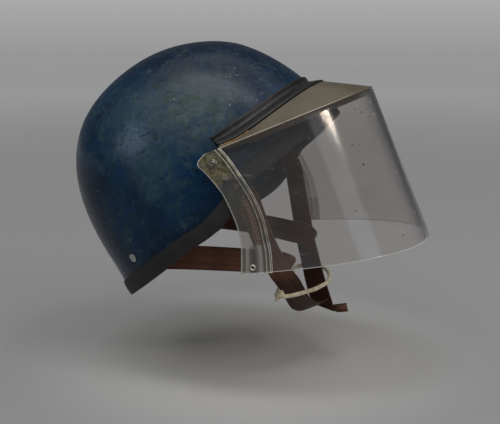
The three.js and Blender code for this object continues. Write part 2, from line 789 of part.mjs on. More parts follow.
function spacerOf(fixing) {
  const place = fixingAt(fixing);
  const inner = fixing.shank + boreClearance;
  const far = depthToShell(fixing) + 2 * shellWall;
  const near = visorWall + clearance;
  const profile = [[inner, -far], [spacerRadius, -far], [spacerRadius, -near], [inner, -near], [inner, -far]];
  const ring = solidOf(turned(profile, place.point, place.outward));
  return geometryOfSolid(ring.subtract(filledDome));
}

const sheetDepth = 3 * visorWall;
const stripBores = [
  boreOf(screw, screw.shank + boreClearance, sheetDepth, 3 * stripWall),
  boreOf(pin, pin.shank + boreClearance, sheetDepth, 3 * stripWall),
  boreOf(eyelet, eyelet.barrel + boreClearance, sheetDepth, 3 * stripWall),
];
const strip = bored(stripSheet, stripBores);
const visor = bored(visorSheet, [...stripBores, ...stripBores.map(mirrored)]);

const eyeletPlace = fixingAt(eyelet);
const eyeletTop = stripWall + clearance;
const eyeletFoot = -visorWall - clearance;
const eyeletProfile = [
  [eyelet.bore, eyeletFoot - eyelet.rise],
  [eyelet.flange, eyeletFoot - eyelet.rise * 0.5],
  [eyelet.flange, eyeletFoot],
  [eyelet.barrel, eyeletFoot],
  [eyelet.barrel, eyeletTop],
  [eyelet.flange, eyeletTop],
  [eyelet.flange * 0.8, eyeletTop + eyelet.rise],
  [eyelet.bore, eyeletTop + eyelet.rise * 0.7],
  [eyelet.bore, eyeletFoot - eyelet.rise],
];
const eyeletRing = turned(eyeletProfile, eyeletPlace.point, eyeletPlace.outward);

// Shell rivets that hold the nape straps
const rivetRise = riseOf(rivet.height * domeHeight);
const rivetPoint = domeByRise(-rivet.turn, rivetRise);
const rivetOut = domeNormal(-rivet.turn, rivetRise);
const rivetClench = shellWall + facetSlack + strapWall + 3 * clearance;
const rivetProfile = [
  [0, -rivetClench - 1.2],
  [rivet.shank * 1.8, -rivetClench - 0.8],
  [rivet.shank * 1.8, -rivetClench],
  [rivet.shank, -rivetClench],
  [rivet.shank, clearance],
  [rivet.head, clearance],
  [rivet.head * 0.95, clearance + rivet.rise * 0.5],
  [rivet.head * 0.6, clearance + rivet.rise],
  [0, clearance + rivet.rise],
];
const rivetBody = turned(rivetProfile, rivetPoint, rivetOut);
const rivetBoreRadius = rivet.shank + boreClearance;
const rivetBore = turned(
  [
    [0, -2 * rivetClench],
    [rivetBoreRadius, -2 * rivetClench],
    [rivetBoreRadius, 2 * shellWall],
    [0, 2 * shellWall],
  ],
  rivetPoint,
  rivetOut,
);

const boreDepth = halfWidth / 3;
const pinBore = boreOf(pin, pin.shank + boreClearance, boreDepth, 0);
const shellBores = [boreOf(screw, screw.shank + boreClearance, boreDepth, 0), pinBore, rivetBore];
const shell = bored(domeBody(0, -shellWall), [...shellBores, ...shellBores.map(mirrored)]);

// A flat band along rows of centre, lean and swing of its width, and share of the strap's width
function ribbon(rows, steps, width) {
  const last = rows.length - 1;
  const keyed = rows.map((row, station) => ({ ...row, station }));
  const read = (column, at) => readTable(keyed, "station", column, at);
  const centreAt = (at) => new THREE.Vector3(read("x", at), read("y", at), read("z", at));
  const sections = [];
  for (let i = 0; i <= steps; i += 1) {
    const at = (last * i) / steps;
    const lean = radians(read("lean", at));
    const swing = radians(read("swing", at));
    const half = (width * read("share", at)) / 2;
    const across = new THREE.Vector3(
      Math.cos(lean) * Math.cos(swing),
      Math.sin(swing),
      Math.sin(lean) * Math.cos(swing),
    );
    const centre = centreAt(at);
    const along = centreAt(Math.min(at + 0.05, last)).sub(centreAt(Math.max(at - 0.05, 0)));
    const face = new THREE.Vector3().crossVectors(along, across).normalize();
    const corners = [[-half, 0.5], [half, 0.5], [half, -0.5], [-half, -0.5]];
    sections.push(
      corners.map(([side, out]) => {
        return centre.clone().addScaledVector(across, side).addScaledVector(face, out * strapWall);
      }),
    );
  }
  return loft(sections);
}

// Rows of a strap from the point that holds it
function strapRows(rows, hold, reach, depth) {
  return rows.map(({ forward, side, down, lean, swing, share }) => {
    return { x: hold.x + forward * reach, y: hold.y * side, z: hold.z - down * depth, lean, swing, share };
  });
}

const strapDepth = shellWall + clearance + strapWall / 2 + facetSlack;
const innerLegDepth = strapDepth + clearance + edgingWall + facetSlack;
const pinPlace = fixingAt(pin);
const pinSeat = pinPlace.point.clone().addScaledVector(pinPlace.outward, -depthToShell(pin));
const chinTop = chinHold.map(({ forward, down, lean }, row) => {
  const depth = row < 2 ? strapDepth : innerLegDepth;
  const x = pinSeat.x + forward * chinReach;
  return rowOnWall(x, pinSeat.z - down * chinDepth, lean, chinCheek[0].share, depth);
});
const chinBand = (rows, steps) => {
  const free = strapRows([...chinCheek, ...rows], pinSeat, chinReach, chinDepth);
  return bored(ribbon([...chinTop, ...free], steps, strapWidth), [pinBore]);
};
const chinRight = chinBand(chinUnder, 28);
const chinLeft = chinBand(chinTail, 32);

const napeTop = napeHold.map(({ forward, inward }) => {
  const depth = strapDepth + inward * strapWall;
  return rowOnWall(rivetPoint.x + forward * napeReach, rivetPoint.z, napeLean, napeCheek[0].share, depth);
});
const napeFree = strapRows(napeCheek, rivetPoint, napeReach, napeReach);
const nape = bored(ribbon([...napeTop, ...napeFree], 22, strapWidth), [rivetBore]);

// Tie cord and its knot
const cordPath = new THREE.CatmullRomCurve3(cordRoute.map(({ x, y, z }) => new THREE.Vector3(x, y, z)));
const cordSection = new THREE.Shape();
for (let i = 0; i < cordSides; i += 1) {
  const angle = (2 * Math.PI * i) / cordSides;
  const move = i === 0 ? "moveTo" : "lineTo";
  cordSection[move](cordRadius * Math.cos(angle), cordRadius * Math.sin(angle));
}
const extruded = new THREE.ExtrudeGeometry(cordSection, {
  steps: cordSteps,
  bevelEnabled: false,
  extrudePath: cordPath,
});
extruded.deleteAttribute("normal");
extruded.deleteAttribute("uv");
const cord = mergeVertices(extruded, 1e-4);

const ball = new THREE.SphereGeometry(1, 10, 7);
ball.deleteAttribute("normal");
ball.deleteAttribute("uv");
const knot = geometryOfSolid(solidOf(ball.scale(knotSize.x, knotSize.y, knotSize.z)));
knot.translate(knotPlace.x, knotPlace.y, knotPlace.z);

addNode("shell", shell, 0x1d3346, { roughness: 0.45 });
addNode("rim_trim", edging, 0x18181a, { roughness: 0.8 });
addNode("brow_moulding", moulding, 0x1b1718, { roughness: 0.6 });
addNode("peak_panel", panel, 0x6e6450, { roughness: 0.5 });
addNode("visor", visor, 0xdfe4e6, { roughness: 0.08, transparent: true, opacity: 0.3 });
addPair("side_strip", strip, 0xc9c2a8, { roughness: 0.15, transparent: true, opacity: 0.5 });
addPair("strip_screw", fastening(screw, true, clenchGap), 0x4a4440, { roughness: 0.4, metalness: 0.8 });
addPair("strip_pin", fastening(pin, false, clenchGap + facetSlack + strapWall), 0x5a4030, { roughness: 0.5, metalness: 0.6 });
addPair("screw_spacer", spacerOf(screw), 0x202020, { roughness: 0.7 });
addPair("pin_spacer", spacerOf(pin), 0x202020, { roughness: 0.7 });
addPair("strip_eyelet", eyeletRing, 0xb0aca4, { roughness: 0.35, metalness: 0.9 });
addPair("shell_rivet", rivetBody, 0xb9b8b2, { roughness: 0.5, metalness: 0.5 });

addPair("nape_strap", nape, 0x3a211b, { roughness: 0.7 });
addNode("chin_strap_right", chinRight, 0x38201b, { roughness: 0.7 });
addNode("chin_strap_left", mirrored(chinLeft), 0x38201b, { roughness: 0.7 });
addNode("tie_cord", cord, 0xd8d0b8, { roughness: 0.9 });
addNode("tie_knot", knot, 0xd8d0b8, { roughness: 0.9 });

export default group;
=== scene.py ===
"""Riot helmet with a fixed clear visor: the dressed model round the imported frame, in metres.
+X is to the face, +Y to the wearer's left, +Z up. Tables and shapes below are in millimetres."""
import bisect
import math
import random

import bpy
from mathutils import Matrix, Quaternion, Vector, noise


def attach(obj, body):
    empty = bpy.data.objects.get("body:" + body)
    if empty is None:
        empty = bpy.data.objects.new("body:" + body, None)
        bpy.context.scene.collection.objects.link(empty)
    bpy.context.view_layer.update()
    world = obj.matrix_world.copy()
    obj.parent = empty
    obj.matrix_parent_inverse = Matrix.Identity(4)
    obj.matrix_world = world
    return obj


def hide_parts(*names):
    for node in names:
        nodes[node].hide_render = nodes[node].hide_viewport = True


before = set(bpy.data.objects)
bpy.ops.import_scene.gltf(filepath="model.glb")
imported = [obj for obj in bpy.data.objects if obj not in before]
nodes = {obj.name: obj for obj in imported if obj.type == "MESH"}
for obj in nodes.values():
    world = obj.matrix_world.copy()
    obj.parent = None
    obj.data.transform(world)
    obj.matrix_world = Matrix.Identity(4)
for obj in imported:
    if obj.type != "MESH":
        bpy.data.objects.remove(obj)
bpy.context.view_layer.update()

MM = 0.001
ROOT = "root"
scene = bpy.context.scene


def placed(name, data, place, aim):
    """A camera or a lamp at one place, turned towards another."""
    thing = bpy.data.objects.new(name, data)
    scene.collection.objects.link(thing)
    thing.location = place
    thing.rotation_euler = (Vector(aim) - Vector(place)).to_track_quat("-Z", "Y").to_euler()
    return thing


# Camera at the photograph's angle
camera_data = bpy.data.cameras.new("camera")
camera_data.lens = 61.2
camera_data.sensor_width = 36.0
scene.camera = placed("camera", camera_data, (0.24508, -0.80802, -0.00201), (0.037, 0.0, -0.1642))


# ---- Building pieces ----

def select_only(*pieces):
    """Leaves just these pieces selected, the first of them active."""
    bpy.ops.object.select_all(action="DESELECT")
    for piece in pieces:
        piece.select_set(True)
    if pieces:
        bpy.context.view_layer.objects.active = pieces[0]


def named(name):
    """The object that was just added, under its own name."""
    piece = bpy.context.object
    piece.name = name
    piece.data.name = name
    return piece


def joined(name, pieces):
    """Several pieces as one mesh."""
    select_only(*pieces)
    bpy.ops.object.join()
    return named(name)


def edit_all(piece, *steps):
    """Runs edit-mode steps on the whole mesh."""
    select_only(piece)
    bpy.ops.object.mode_set(mode="EDIT")
    bpy.ops.mesh.select_all(action="SELECT")
    for step in steps:
        step()
    bpy.ops.object.mode_set(mode="OBJECT")


def merge():
    bpy.ops.mesh.remove_doubles(threshold=1e-6)


def close_ends():
    bpy.ops.mesh.select_all(action="DESELECT")
    bpy.ops.mesh.select_non_manifold()
    bpy.ops.mesh.fill_holes(sides=0)
    bpy.ops.mesh.select_all(action="SELECT")


def face_out():
    bpy.ops.mesh.normals_make_consistent(inside=False)


def apply_modifier(piece, kind, **settings):
    select_only(piece)
    modifier = piece.modifiers.new(kind.lower(), kind)
    for key, value in settings.items():
        setattr(modifier, key, value)
    bpy.ops.object.modifier_apply(modifier=modifier.name)


def smooth(piece, degrees):
    select_only(piece)
    bpy.ops.object.shade_smooth_by_angle(angle=math.radians(degrees))


def ease(piece, width, sharp, shade, segments=2):
    """Rounds the edges that turn by more than one angle, then shades smooth up to another."""
    apply_modifier(
        piece, "BEVEL", width=width * MM, segments=segments, limit_method="ANGLE",
        angle_limit=math.radians(sharp), use_clamp_overlap=True,
    )
    smooth(piece, shade)


def laid_out(name, columns, rows, place):
    """A grid of quads whose points lie at place(u, v), with u and v from 0 to 1. Its UV map keeps both."""
    select_only()
    bpy.ops.mesh.primitive_grid_add(x_subdivisions=columns, y_subdivisions=rows, size=2)
    piece = named(name)
    for vertex in piece.data.vertices:
        u = round((vertex.co.x + 1) / 2 * columns) / columns
        v = round((vertex.co.y + 1) / 2 * rows) / rows
        vertex.co = place(u, v) * MM
    edit_all(piece, merge)
    return piece


def skinned(name, rings):
    """A closed solid through rings of points. Each ring ends where it begins."""
    rows, points = len(rings) - 1, len(rings[0]) - 1
    piece = laid_out(name, points, rows, lambda u, v: rings[round(v * rows)][round(u * points)])
    edit_all(piece, close_ends, face_out)
    return piece


def sheet(name, columns, rows, place, middle, wall):
    """A laid-out grid that faces away from a middle point, with its wall on the inside."""
    piece = laid_out(name, columns, rows, place)
    centre = Vector(middle) * MM
    facing = sum(f.normal.dot((f.center - centre).normalized()) * f.area for f in piece.data.polygons)
    if facing < 0:
        edit_all(piece, bpy.ops.mesh.flip_normals)
    apply_modifier(piece, "SOLIDIFY", thickness=wall * MM, offset=-1.0, use_even_offset=True)
    return piece


def seat(piece, point, axis):
    """Stands a piece that was made about +Z at the origin on a point, along an axis."""
    turn = Vector((0, 0, 1)).rotation_difference(axis).to_matrix().to_4x4()
    piece.data.transform(turn)
    for vertex in piece.data.vertices:
        vertex.co += point * MM


def mirrored_copy(piece, name):
    """The piece on the other side of the middle plane."""
    other = piece.copy()
    other.data = piece.data.copy()
    other.name = name
    other.data.name = name
    scene.collection.objects.link(other)
    for vertex in other.data.vertices:
        vertex.co.y = -vertex.co.y
    edit_all(other, bpy.ops.mesh.flip_normals)
    return other


def turned(name, profile, sides=40):
    """A turned piece about +Z, from pairs of radius and height, closed at both ends."""
    select_only()
    (radius, height), *others = profile
    bpy.ops.mesh.primitive_circle_add(
        vertices=sides, radius=radius * MM, location=(0, 0, height * MM), fill_type="NGON"
    )
    piece = named(name)
    bpy.ops.object.transform_apply(location=True, rotation=True, scale=True)
    bpy.ops.object.mode_set(mode="EDIT")
    bpy.ops.mesh.select_all(action="SELECT")
    for next_radius, next_height in others:
        rise = (next_height - height) * MM
        bpy.ops.mesh.extrude_region_move(TRANSFORM_OT_translate={"value": (0, 0, rise)})
        share = next_radius / radius
        bpy.ops.transform.resize(value=(share, share, 1), center_override=(0, 0, 0))
        radius, height = next_radius, next_height
    bpy.ops.object.mode_set(mode="OBJECT")
    edit_all(piece, face_out)
    return piece


def read_table(rows, at):
    """Each column of a table's rows, its first column the key, on a smooth curve through the rows."""
    last = len(rows) - 1
    if at <= rows[0][0]:
        return rows[0][1:]
    if at >= rows[last][0]:
        return rows[last][1:]
    i = bisect.bisect_left([row[0] for row in rows], at) - 1
    span = rows[i + 1][0] - rows[i][0]
    t = (at - rows[i][0]) / span

    def slope(j, column):
        low, high = rows[max(j - 1, 0)], rows[min(j + 1, last)]
        return (high[column] - low[column]) / (high[0] - low[0])

    return tuple(
        (2 * t**3 - 3 * t**2 + 1) * rows[i][c]
        + (t**3 - 2 * t**2 + t) * span * slope(i, c)
        + (3 * t**2 - 2 * t**3) * rows[i + 1][c]
        + (t**3 - t**2) * span * slope(i + 1, c)
        for c in range(1, len(rows[0]))
    )


def points_at(rows, start=(0, 0, 0)):
    """Rows of coordinates as points, counted from a start."""
    return [Vector(start) + Vector(row) for row in rows]


def spread(count):
    """Even steps from -1 to 1."""
    return [2 * i / count - 1 for i in range(count + 1)]


def between(p, q, low, high, at):
    """The point on the line through p and q that are at low and high."""
    return p * ((high - at) / (high - low)) + q * ((at - low) / (high - low))


def smooth_path(points, steps):
    """Evenly spaced points on the smooth curve through the given points."""
    fine_steps = 40
    ends = [2 * points[0] - points[1], *points, 2 * points[-1] - points[-2]]
    fine = []
    for a, b, c, d in zip(ends, ends[1:], ends[2:], ends[3:]):
        k0, k1 = 0.0, (b - a).length ** 0.5
        k2 = k1 + (c - b).length ** 0.5
        k3 = k2 + (d - c).length ** 0.5
        for step in range(fine_steps):
            t = k1 + (k2 - k1) * step / fine_steps
            ab, bc, cd = between(a, b, k0, k1, t), between(b, c, k1, k2, t), between(c, d, k2, k3, t)
            abc, bcd = between(ab, bc, k0, k2, t), between(bc, cd, k1, k3, t)
            fine.append(between(abc, bcd, k1, k2, t))
    fine.append(points[-1].copy())
    reach = [0.0]
    for p, q in zip(fine, fine[1:]):
        reach.append(reach[-1] + (q - p).length)
    even = []
    for step in range(steps + 1):
        at = reach[-1] * step / steps
        i = min(max(bisect.bisect_left(reach, at), 1), len(fine) - 1)
        even.append(fine[i - 1].lerp(fine[i], (at - reach[i - 1]) / (reach[i] - reach[i - 1])))
    return even


def length_of(path):
    return sum((q - p).length for p, q in zip(path, path[1:]))


def tube(name, path, sides, radius_at):
    """A closed tube along a path, with its radius at an angle and a distance along."""
    last = len(path) - 1
    step = length_of(path) / last
    angles = [2 * math.pi * (j / sides) for j in range(sides + 1)]
    side = (path[1] - path[0]).orthogonal().normalized()
    rings = []
    for i, point in enumerate(path):
        along = (path[min(i + 1, last)] - path[max(i - 1, 0)]).normalized()
        side = (side - along * side.dot(along)).normalized()
        up = along.cross(side)
        rings.append([
            point + (side * math.cos(angle) + up * math.sin(angle)) * radius_at(angle, i * step)
            for angle in angles
        ])
    return skinned(name, rings)


# ---- Tie cord: a braided loop round both chin straps, with its knot over the right one ----

CORD_RADIUS = 2.1
CORD_ROUTE = points_at([
    (86.9, -58.2, -231.2), (91.5, -54.8, -231.1), (97.0, -49.5, -230.6), (103.0, -42.0, -230.1),
    (108.6, -31.5, -230.3), (113.0, -18.0, -230.5), (116.2, -4.0, -230.6), (116.6, 10.0, -230.2),
    (114.2, 25.0, -230.0), (109.6, 40.0, -230.0), (102.6, 52.0, -230.0), (92.5, 59.0, -230.4),
    (82.0, 60.5, -231.0), (75.6, 54.5, -231.6), (73.4, 42.0, -232.2), (72.4, 20.0, -233.4),
    (72.4, 0.0, -234.0), (72.8, -20.0, -233.6), (75.0, -39.0, -232.4), (76.8, -54.6, -231.0),
])
BRAID_ROUND = 8
BRAID_PITCH = 1.7
BRAID_DEPTH = 0.34


def braid(angle, distance):
    """The cord's radius over a braid of strands that cross each other."""
    lump = math.cos(2 * math.pi * distance / BRAID_PITCH) - math.cos(BRAID_ROUND * angle)
    return CORD_RADIUS - BRAID_DEPTH * (0.5 - 0.25 * lump)


cord_path = smooth_path(CORD_ROUTE, 960)
cord_length = length_of(cord_path)
tie_cord = tube("tie_cord_braid", cord_path, 32, braid)
smooth(tie_cord, 60)

# The knot: a tight overhand turn of the same cord with two short frayed ends
KNOT_PLACE = Vector((80.7, -60.5, -229.9))
KNOT_TURNS = 160
KNOT_WIDTH, KNOT_HEIGHT, KNOT_WEAVE, KNOT_LEAN = 1.25, 1.2, -1.43, 1.3
KNOT_LOBE = 1.35
knot_line = []
for i in range(KNOT_TURNS + 1):
    t = 2 * math.pi * i / KNOT_TURNS
    knot_line.append(KNOT_PLACE + Vector((
        KNOT_WIDTH * (math.sin(t) + KNOT_LOBE * math.sin(2 * t)),
        KNOT_HEIGHT * (math.cos(t) - KNOT_LOBE * math.cos(2 * t)),
        KNOT_WEAVE * math.sin(3 * t) + KNOT_LEAN * math.sin(t),
    )))
END_A = points_at([(0.5, 0, -1.5), (-1.2, -1.4, -3.2), (-2.6, -2.2, -4.4)], KNOT_PLACE)
END_B = points_at([(1, 0, 1), (1.6, -1.4, 2.8), (2.2, -2.0, 4.0)], KNOT_PLACE)
# Where the cord runs into the knot from in front of the strap and from behind it
LINK_FRONT = points_at([(82.2, -60.1, -230.2), (85.0, -59.3, -230.9), (87.4, -57.8, -231.2)])
LINK_BACK = points_at([(77.0, -53.6, -231.0), (77.8, -57.0, -230.7), (79.6, -59.4, -230.2)])
knot_parts = [
    tube("tie_knot_turns", knot_line, 20, lambda angle, distance: 1.95 + 0.08 * math.cos(8 * angle))
]
for label, line, radius in (
    ("low", END_A, 1.45), ("high", END_B, 1.45), ("front", LINK_FRONT, 2.0), ("back", LINK_BACK, 2.0),
):
    knot_parts.append(tube(f"tie_knot_{label}", smooth_path(line, 12), 16, lambda angle, distance: radius))
knot = joined("tie_knot_turns", knot_parts)
apply_modifier(knot, "REMESH", mode="VOXEL", voxel_size=0.3 * MM, adaptivity=0.0)
smooth(knot, 180)

HAIRS_AN_END = 16
HAIR_RADIUS = 0.13
fray_seed = random.Random(7)
hairs = []
for line in (END_A, END_B):
    tip = line[-1]
    way = (line[-1] - line[-2]).normalized()
    for _ in range(HAIRS_AN_END):
        stray = Vector([fray_seed.uniform(-1, 1) for _ in range(3)])
        start = line[-2].lerp(tip, 0.7) + stray * 0.55
        reach = fray_seed.uniform(1.0, 2.2)
        bend = Vector([fray_seed.uniform(-0.6, 0.6) for _ in range(3)])
        end = start + (way + bend).normalized() * reach
        hair_line = smooth_path([start, start.lerp(end, 0.5) + bend * 0.3, end], 5)
        hairs.append(tube(f"hair_{len(hairs)}", hair_line, 5, lambda angle, distance: HAIR_RADIUS))
fray = joined("tie_knot_fray", hairs)
smooth(fray, 180)

# ---- Shell surface, in its own frame of forward, side and up, pitched back ----

PITCH = math.radians(40.68)
REAR_LENGTH, FRONT_LENGTH, HALF_WIDTH, DOME_HEIGHT = 130.8, 137.3, 119.0, 175.6
PLAN_ROUNDNESS, PROFILE_ROUNDNESS = 2.044, 2.396
CROWN_LEAN = 0.038
CROWN_CAP = 0.02
SIDE_SWELL = 0.3
SHELL_WALL = 3.5
SHELL_CENTRE = (25.101, -161.177)
GAP = 0.3
PROFILE_SWELL = [
    (50, 0), (65, -0.0138), (80, -0.0103), (95, -0.0025), (110, 0.0042), (125, 0.0029),
    (140, -0.0011), (154, 0), (166, 0.012), (180, 0.056),
]
RIM_LINE = [
    (0, 0.051), (35, 0.05), (46, 0.0444), (62, 0.0444), (69, 0.0165), (77, -0.018), (87, -0.04),
    (97, -0.029), (110, -0.018), (123, -0.012), (137, -0.003), (155, 0.001), (180, 0.003),
]
EDGING_WALL = 1.8


def power(value, exponent):
    return math.copysign(abs(value) ** exponent, value)


def helmet_point(forward, side, up):
    cos, sin = math.cos(PITCH), math.sin(PITCH)
    x = SHELL_CENTRE[0] + forward * cos - up * sin
    z = SHELL_CENTRE[1] + forward * sin + up * cos
    return Vector((x, side, z))


def dome(turn, rise):
    """A point of the shell's outer skin by its turn from the front in degrees and its rise."""
    up = DOME_HEIGHT * power(math.sin(rise), 2 / PROFILE_ROUNDNESS)
    reach = max(math.cos(rise), 0.0) ** (2 / PROFILE_ROUNDNESS)
    along = power(math.cos(math.radians(turn)), 2 / PLAN_ROUNDNESS)
    across = power(math.sin(math.radians(turn)), 2 / PLAN_ROUNDNESS)
    length = FRONT_LENGTH if along > 0 else REAR_LENGTH
    forward = length * reach * along - REAR_LENGTH * CROWN_LEAN * up / DOME_HEIGHT
    side = HALF_WIDTH * reach * across
    angle = math.degrees(math.atan2(up, forward)) + (360 if forward < 0 and up < 0 else 0)
    swell = read_table(PROFILE_SWELL, angle)[0] * max(1 - (side / HALF_WIDTH) ** 2, 0)
    return helmet_point(forward * (1 + swell), side * (1 + SIDE_SWELL * swell), up * (1 + swell))


def rise_of(height):
    return math.asin(power(height / DOME_HEIGHT, PROFILE_ROUNDNESS / 2))


def dome_normal(turn, rise):
    step = 0.002
    if rise > math.pi / 2 - CROWN_CAP:
        return (helmet_point(0, 0, 1) - helmet_point(0, 0, 0)).normalized()
    degrees = math.degrees(step)
    aside = dome(turn + degrees, rise) - dome(turn - degrees, rise)
    upward = dome(turn, rise + step) - dome(turn, rise - step)
    return aside.cross(upward).normalized()


def on_shell(turn, height, out):
    rise = rise_of(height)
    return dome(turn, rise) + dome_normal(turn, rise) * out


def shell_edge(turn):
    folded = 360 - abs(turn) if abs(turn) > 180 else abs(turn)
    return DOME_HEIGHT * read_table(RIM_LINE, folded)[0] + EDGING_WALL + GAP


# ---- Shell: a moulded dome with a slightly uneven hand-laid skin ----

UNEVEN_DEPTH = 0.16
UNEVEN_SCALE = 0.028


def shell_place(u, v):
    turn = 360 * u - 180
    low = rise_of(shell_edge(turn))
    rise = low + (math.pi / 2 - low) * v
    point = dome(turn, rise)
    return point + dome_normal(turn, rise) * (UNEVEN_DEPTH * noise.noise(point * UNEVEN_SCALE))


shell = sheet("shell_dome", 180, 76, shell_place, (SHELL_CENTRE[0], 0, SHELL_CENTRE[1]), SHELL_WALL)
ease(shell, 0.5, 60, 45)

# ---- Rim trim: a rubber channel with a bead along its top, butted together at the rear ----

INNER = -SHELL_WALL - GAP
LINING = INNER - EDGING_WALL
OUTER = GAP + EDGING_WALL
EDGING_SECTION = [
    (GAP, 11.9), (GAP + 0.2, 12.4), (GAP + 0.7, 12.6), (GAP + 1.3, 12.35), (GAP + 1.55, 11.8),
    (GAP + 1.45, 11.2), (GAP + 1.35, 10.8), (GAP + 1.6, 10.3), (OUTER, 9.6), (OUTER + 0.25, 5.5),
    (OUTER, 1.5), (OUTER - 0.05, -0.6), (OUTER - 0.5, -1.6), (GAP + 0.5, -OUTER), (INNER / 2, -OUTER),
    (INNER - 0.6, -OUTER), (LINING + 0.4, -1.6), (LINING, -0.6), (LINING, 4), (LINING, 7.2),
    (LINING + 0.5, 7.9), (INNER - 0.5, 8), (INNER, 7.6), (INNER, 4), (INNER, 0), (INNER + 0.1, -GAP),
    (GAP - 0.1, -GAP), (GAP, 0), (GAP, 6), (GAP, 11.9),
]
BUTT_TURN = 0.35


def edging_section(turn):
    return [on_shell(turn, shell_edge(turn) + up, out) for out, up in EDGING_SECTION]


edging = skinned("rim_trim_channel", [edging_section((180 - BUTT_TURN) * share) for share in spread(240)])
ease(edging, 0.3, 60, 50)

# ---- Brow moulding: a rubber strip with a ridge along its top, a hollow face and a jutting lip ----

MOULDING_END = 65.0
MOULDING_REACH = 11.4
MOULDING_LINE = [
    (0, 0.2346, 0.329, 1.0), (0.39, 0.238, 0.327, 0.98), (0.62, 0.239, 0.325, 0.92),
    (0.8, 0.242, 0.3295, 0.84), (0.92, 0.2525, 0.337, 0.8), (1, 0.277, 0.342, 0.77),
]
GROOVE_SHARE = 0.62
MOULDING_RIDGE = [
    (-1.6, GAP), (-0.4, GAP + 0.1), (0, 0.9), (-0.1, 1.7), (-0.7, 2.3), (-1.5, 2.45), (-2.4, 2.2),
    (-3.2, 1.7),
]
MOULDING_LIP = [(1.7, -0.25), (0.9, 0.1), (0.2, -0.1), (-0.15, -0.7), (-0.2, -1.7)]


def lip_at(turn):
    height, ridge, reach = read_table(MOULDING_LINE, abs(turn) / MOULDING_END)
    return DOME_HEIGHT * height, DOME_HEIGHT * ridge, MOULDING_REACH * reach


def moulding_section(share):
    turn = MOULDING_END * share
    lip, ridge, reach = lip_at(turn)
    groove = lip + GROOVE_SHARE * (ridge - lip)
    steps = [(ridge + up, out) for up, out in MOULDING_RIDGE]
    steps += [(groove + 0.8, 1.45), (groove - 1.0, 1.75)]
    for hollow in (0.25, 0.5, 0.75):
        height = groove + (lip + 2.4 - groove) * hollow
        steps.append((height, 1.5 + (reach - 1.9) * hollow**1.25))
    steps += [(lip + up, reach + out) for up, out in MOULDING_LIP]
    steps += [(lip, reach * 0.5), (lip, GAP + 0.3), (lip + 0.3, GAP), (groove, GAP), steps[0]]
    return [on_shell(turn, height, out) for height, out in steps]


moulding = skinned("brow_moulding_strip", [moulding_section(share) for share in spread(150)])
ease(moulding, 0.35, 55, 48)

# ---- Visor surface: bent round an upright axis that leans forward at its foot ----

VISOR_LEAN = math.radians(22.83)
VISOR_FORWARD = Vector((math.cos(VISOR_LEAN), 0, math.sin(VISOR_LEAN)))
VISOR_DOWN = Vector((math.sin(VISOR_LEAN), 0, -math.cos(VISOR_LEAN)))
VISOR_HALF_WIDTH = HALF_WIDTH + 3.3
VISOR_DEPTH = 177.3
VISOR_SIDE_ROUNDNESS, VISOR_FRONT_ROUNDNESS = 2.11, 2.263
VISOR_WALL = 2.0
VISOR_CROWN = helmet_point(FRONT_LENGTH + 40.6, 0, 8.8)
FRONT_DROP = 151.9
FOOT_SLOPE = 0.2975
BEND_STEPS = 1500
bend_rows = [(0.0, 0.0)]
bends = [0.0]
for i in range(1, BEND_STEPS + 1):
    angle = math.pi / 2 * i / BEND_STEPS
    row = (
        VISOR_DEPTH * (1 - max(math.cos(angle), 0) ** (2 / VISOR_FRONT_ROUNDNESS)),
        VISOR_HALF_WIDTH * math.sin(angle) ** (2 / VISOR_SIDE_ROUNDNESS),
    )
    bends.append(bends[-1] + math.hypot(row[0] - bend_rows[-1][0], row[1] - bend_rows[-1][1]))
    bend_rows.append(row)


def bend_at(bend):
    high = min(max(bisect.bisect_left(bends, abs(bend)), 1), BEND_STEPS)
    t = min((abs(bend) - bends[high - 1]) / (bends[high] - bends[high - 1]), 1)
    back, side = (a + (b - a) * t for a, b in zip(bend_rows[high - 1], bend_rows[high]))
    return back, math.copysign(side, bend)


def on_visor(bend, drop, out):
    """A point by its way round the bend from the middle, its drop from the crease and its offset out."""
    back, side = bend_at(bend)
    low, high = bend_at(bend - 1), bend_at(bend + 1)
    outward = VISOR_FORWARD * (high[1] - low[1])
    outward.y = high[0] - low[0]
    point = VISOR_CROWN - VISOR_FORWARD * back + VISOR_DOWN * drop
    point.y = side
    return point + outward.normalized() * out


def visor_foot(bend):
    return FRONT_DROP - FOOT_SLOPE * bend_at(bend)[0]


STRIP_WAIST = 198.5
STRIP_WIDTH = 24.2
STRIP_FLARE = 12.0
STRIP_LENGTH = visor_foot(STRIP_WAIST + STRIP_FLARE)
STRIP_LINE = [
    (-0.02, -0.12, 1.06), (0.01, 0.39, 0.96), (0.037, 0.86, 0.86), (0.074, 0.98, 0.73), (0.12, 0.76, 0.6),
    (0.222, 0.41, 0.38), (0.351, 0.09, 0.14), (0.48, 0, 0), (0.61, 0, 0), (0.739, 0.14, 0.18),
    (0.85, 0.49, 0.38), (0.98, 0.97, 0.79), (1.09, 1.36, 1.17),
]
STRIP_WALL = 2.4
RIDGE_RISE = 1.2
RIDGE_PITCH = 3.0
RIDGE_FOOT = 1.6


def strip_edges(drop):
    rear, ridge = read_table(STRIP_LINE, drop / STRIP_LENGTH)
    waist = STRIP_WAIST - STRIP_WIDTH + RIDGE_PITCH + RIDGE_FOOT
    return STRIP_WAIST + STRIP_FLARE * rear, waist + STRIP_FLARE * ridge


# ---- Visor: one clear sheet with a rounded border ----

PANEL_WALL = 1.6
VISOR_TOP = PANEL_WALL + GAP


def visor_place(u, v):
    drop = VISOR_TOP
    for _ in range(4):
        bend = (2 * u - 1) * strip_edges(drop)[0]
        drop = VISOR_TOP + (visor_foot(bend) - VISOR_TOP) * v
    return on_visor(bend, drop, 0)


visor = sheet("visor_sheet", 168, 44, visor_place, (20, 0, -130), VISOR_WALL)
ease(visor, 0.4, 60, 40, 3)

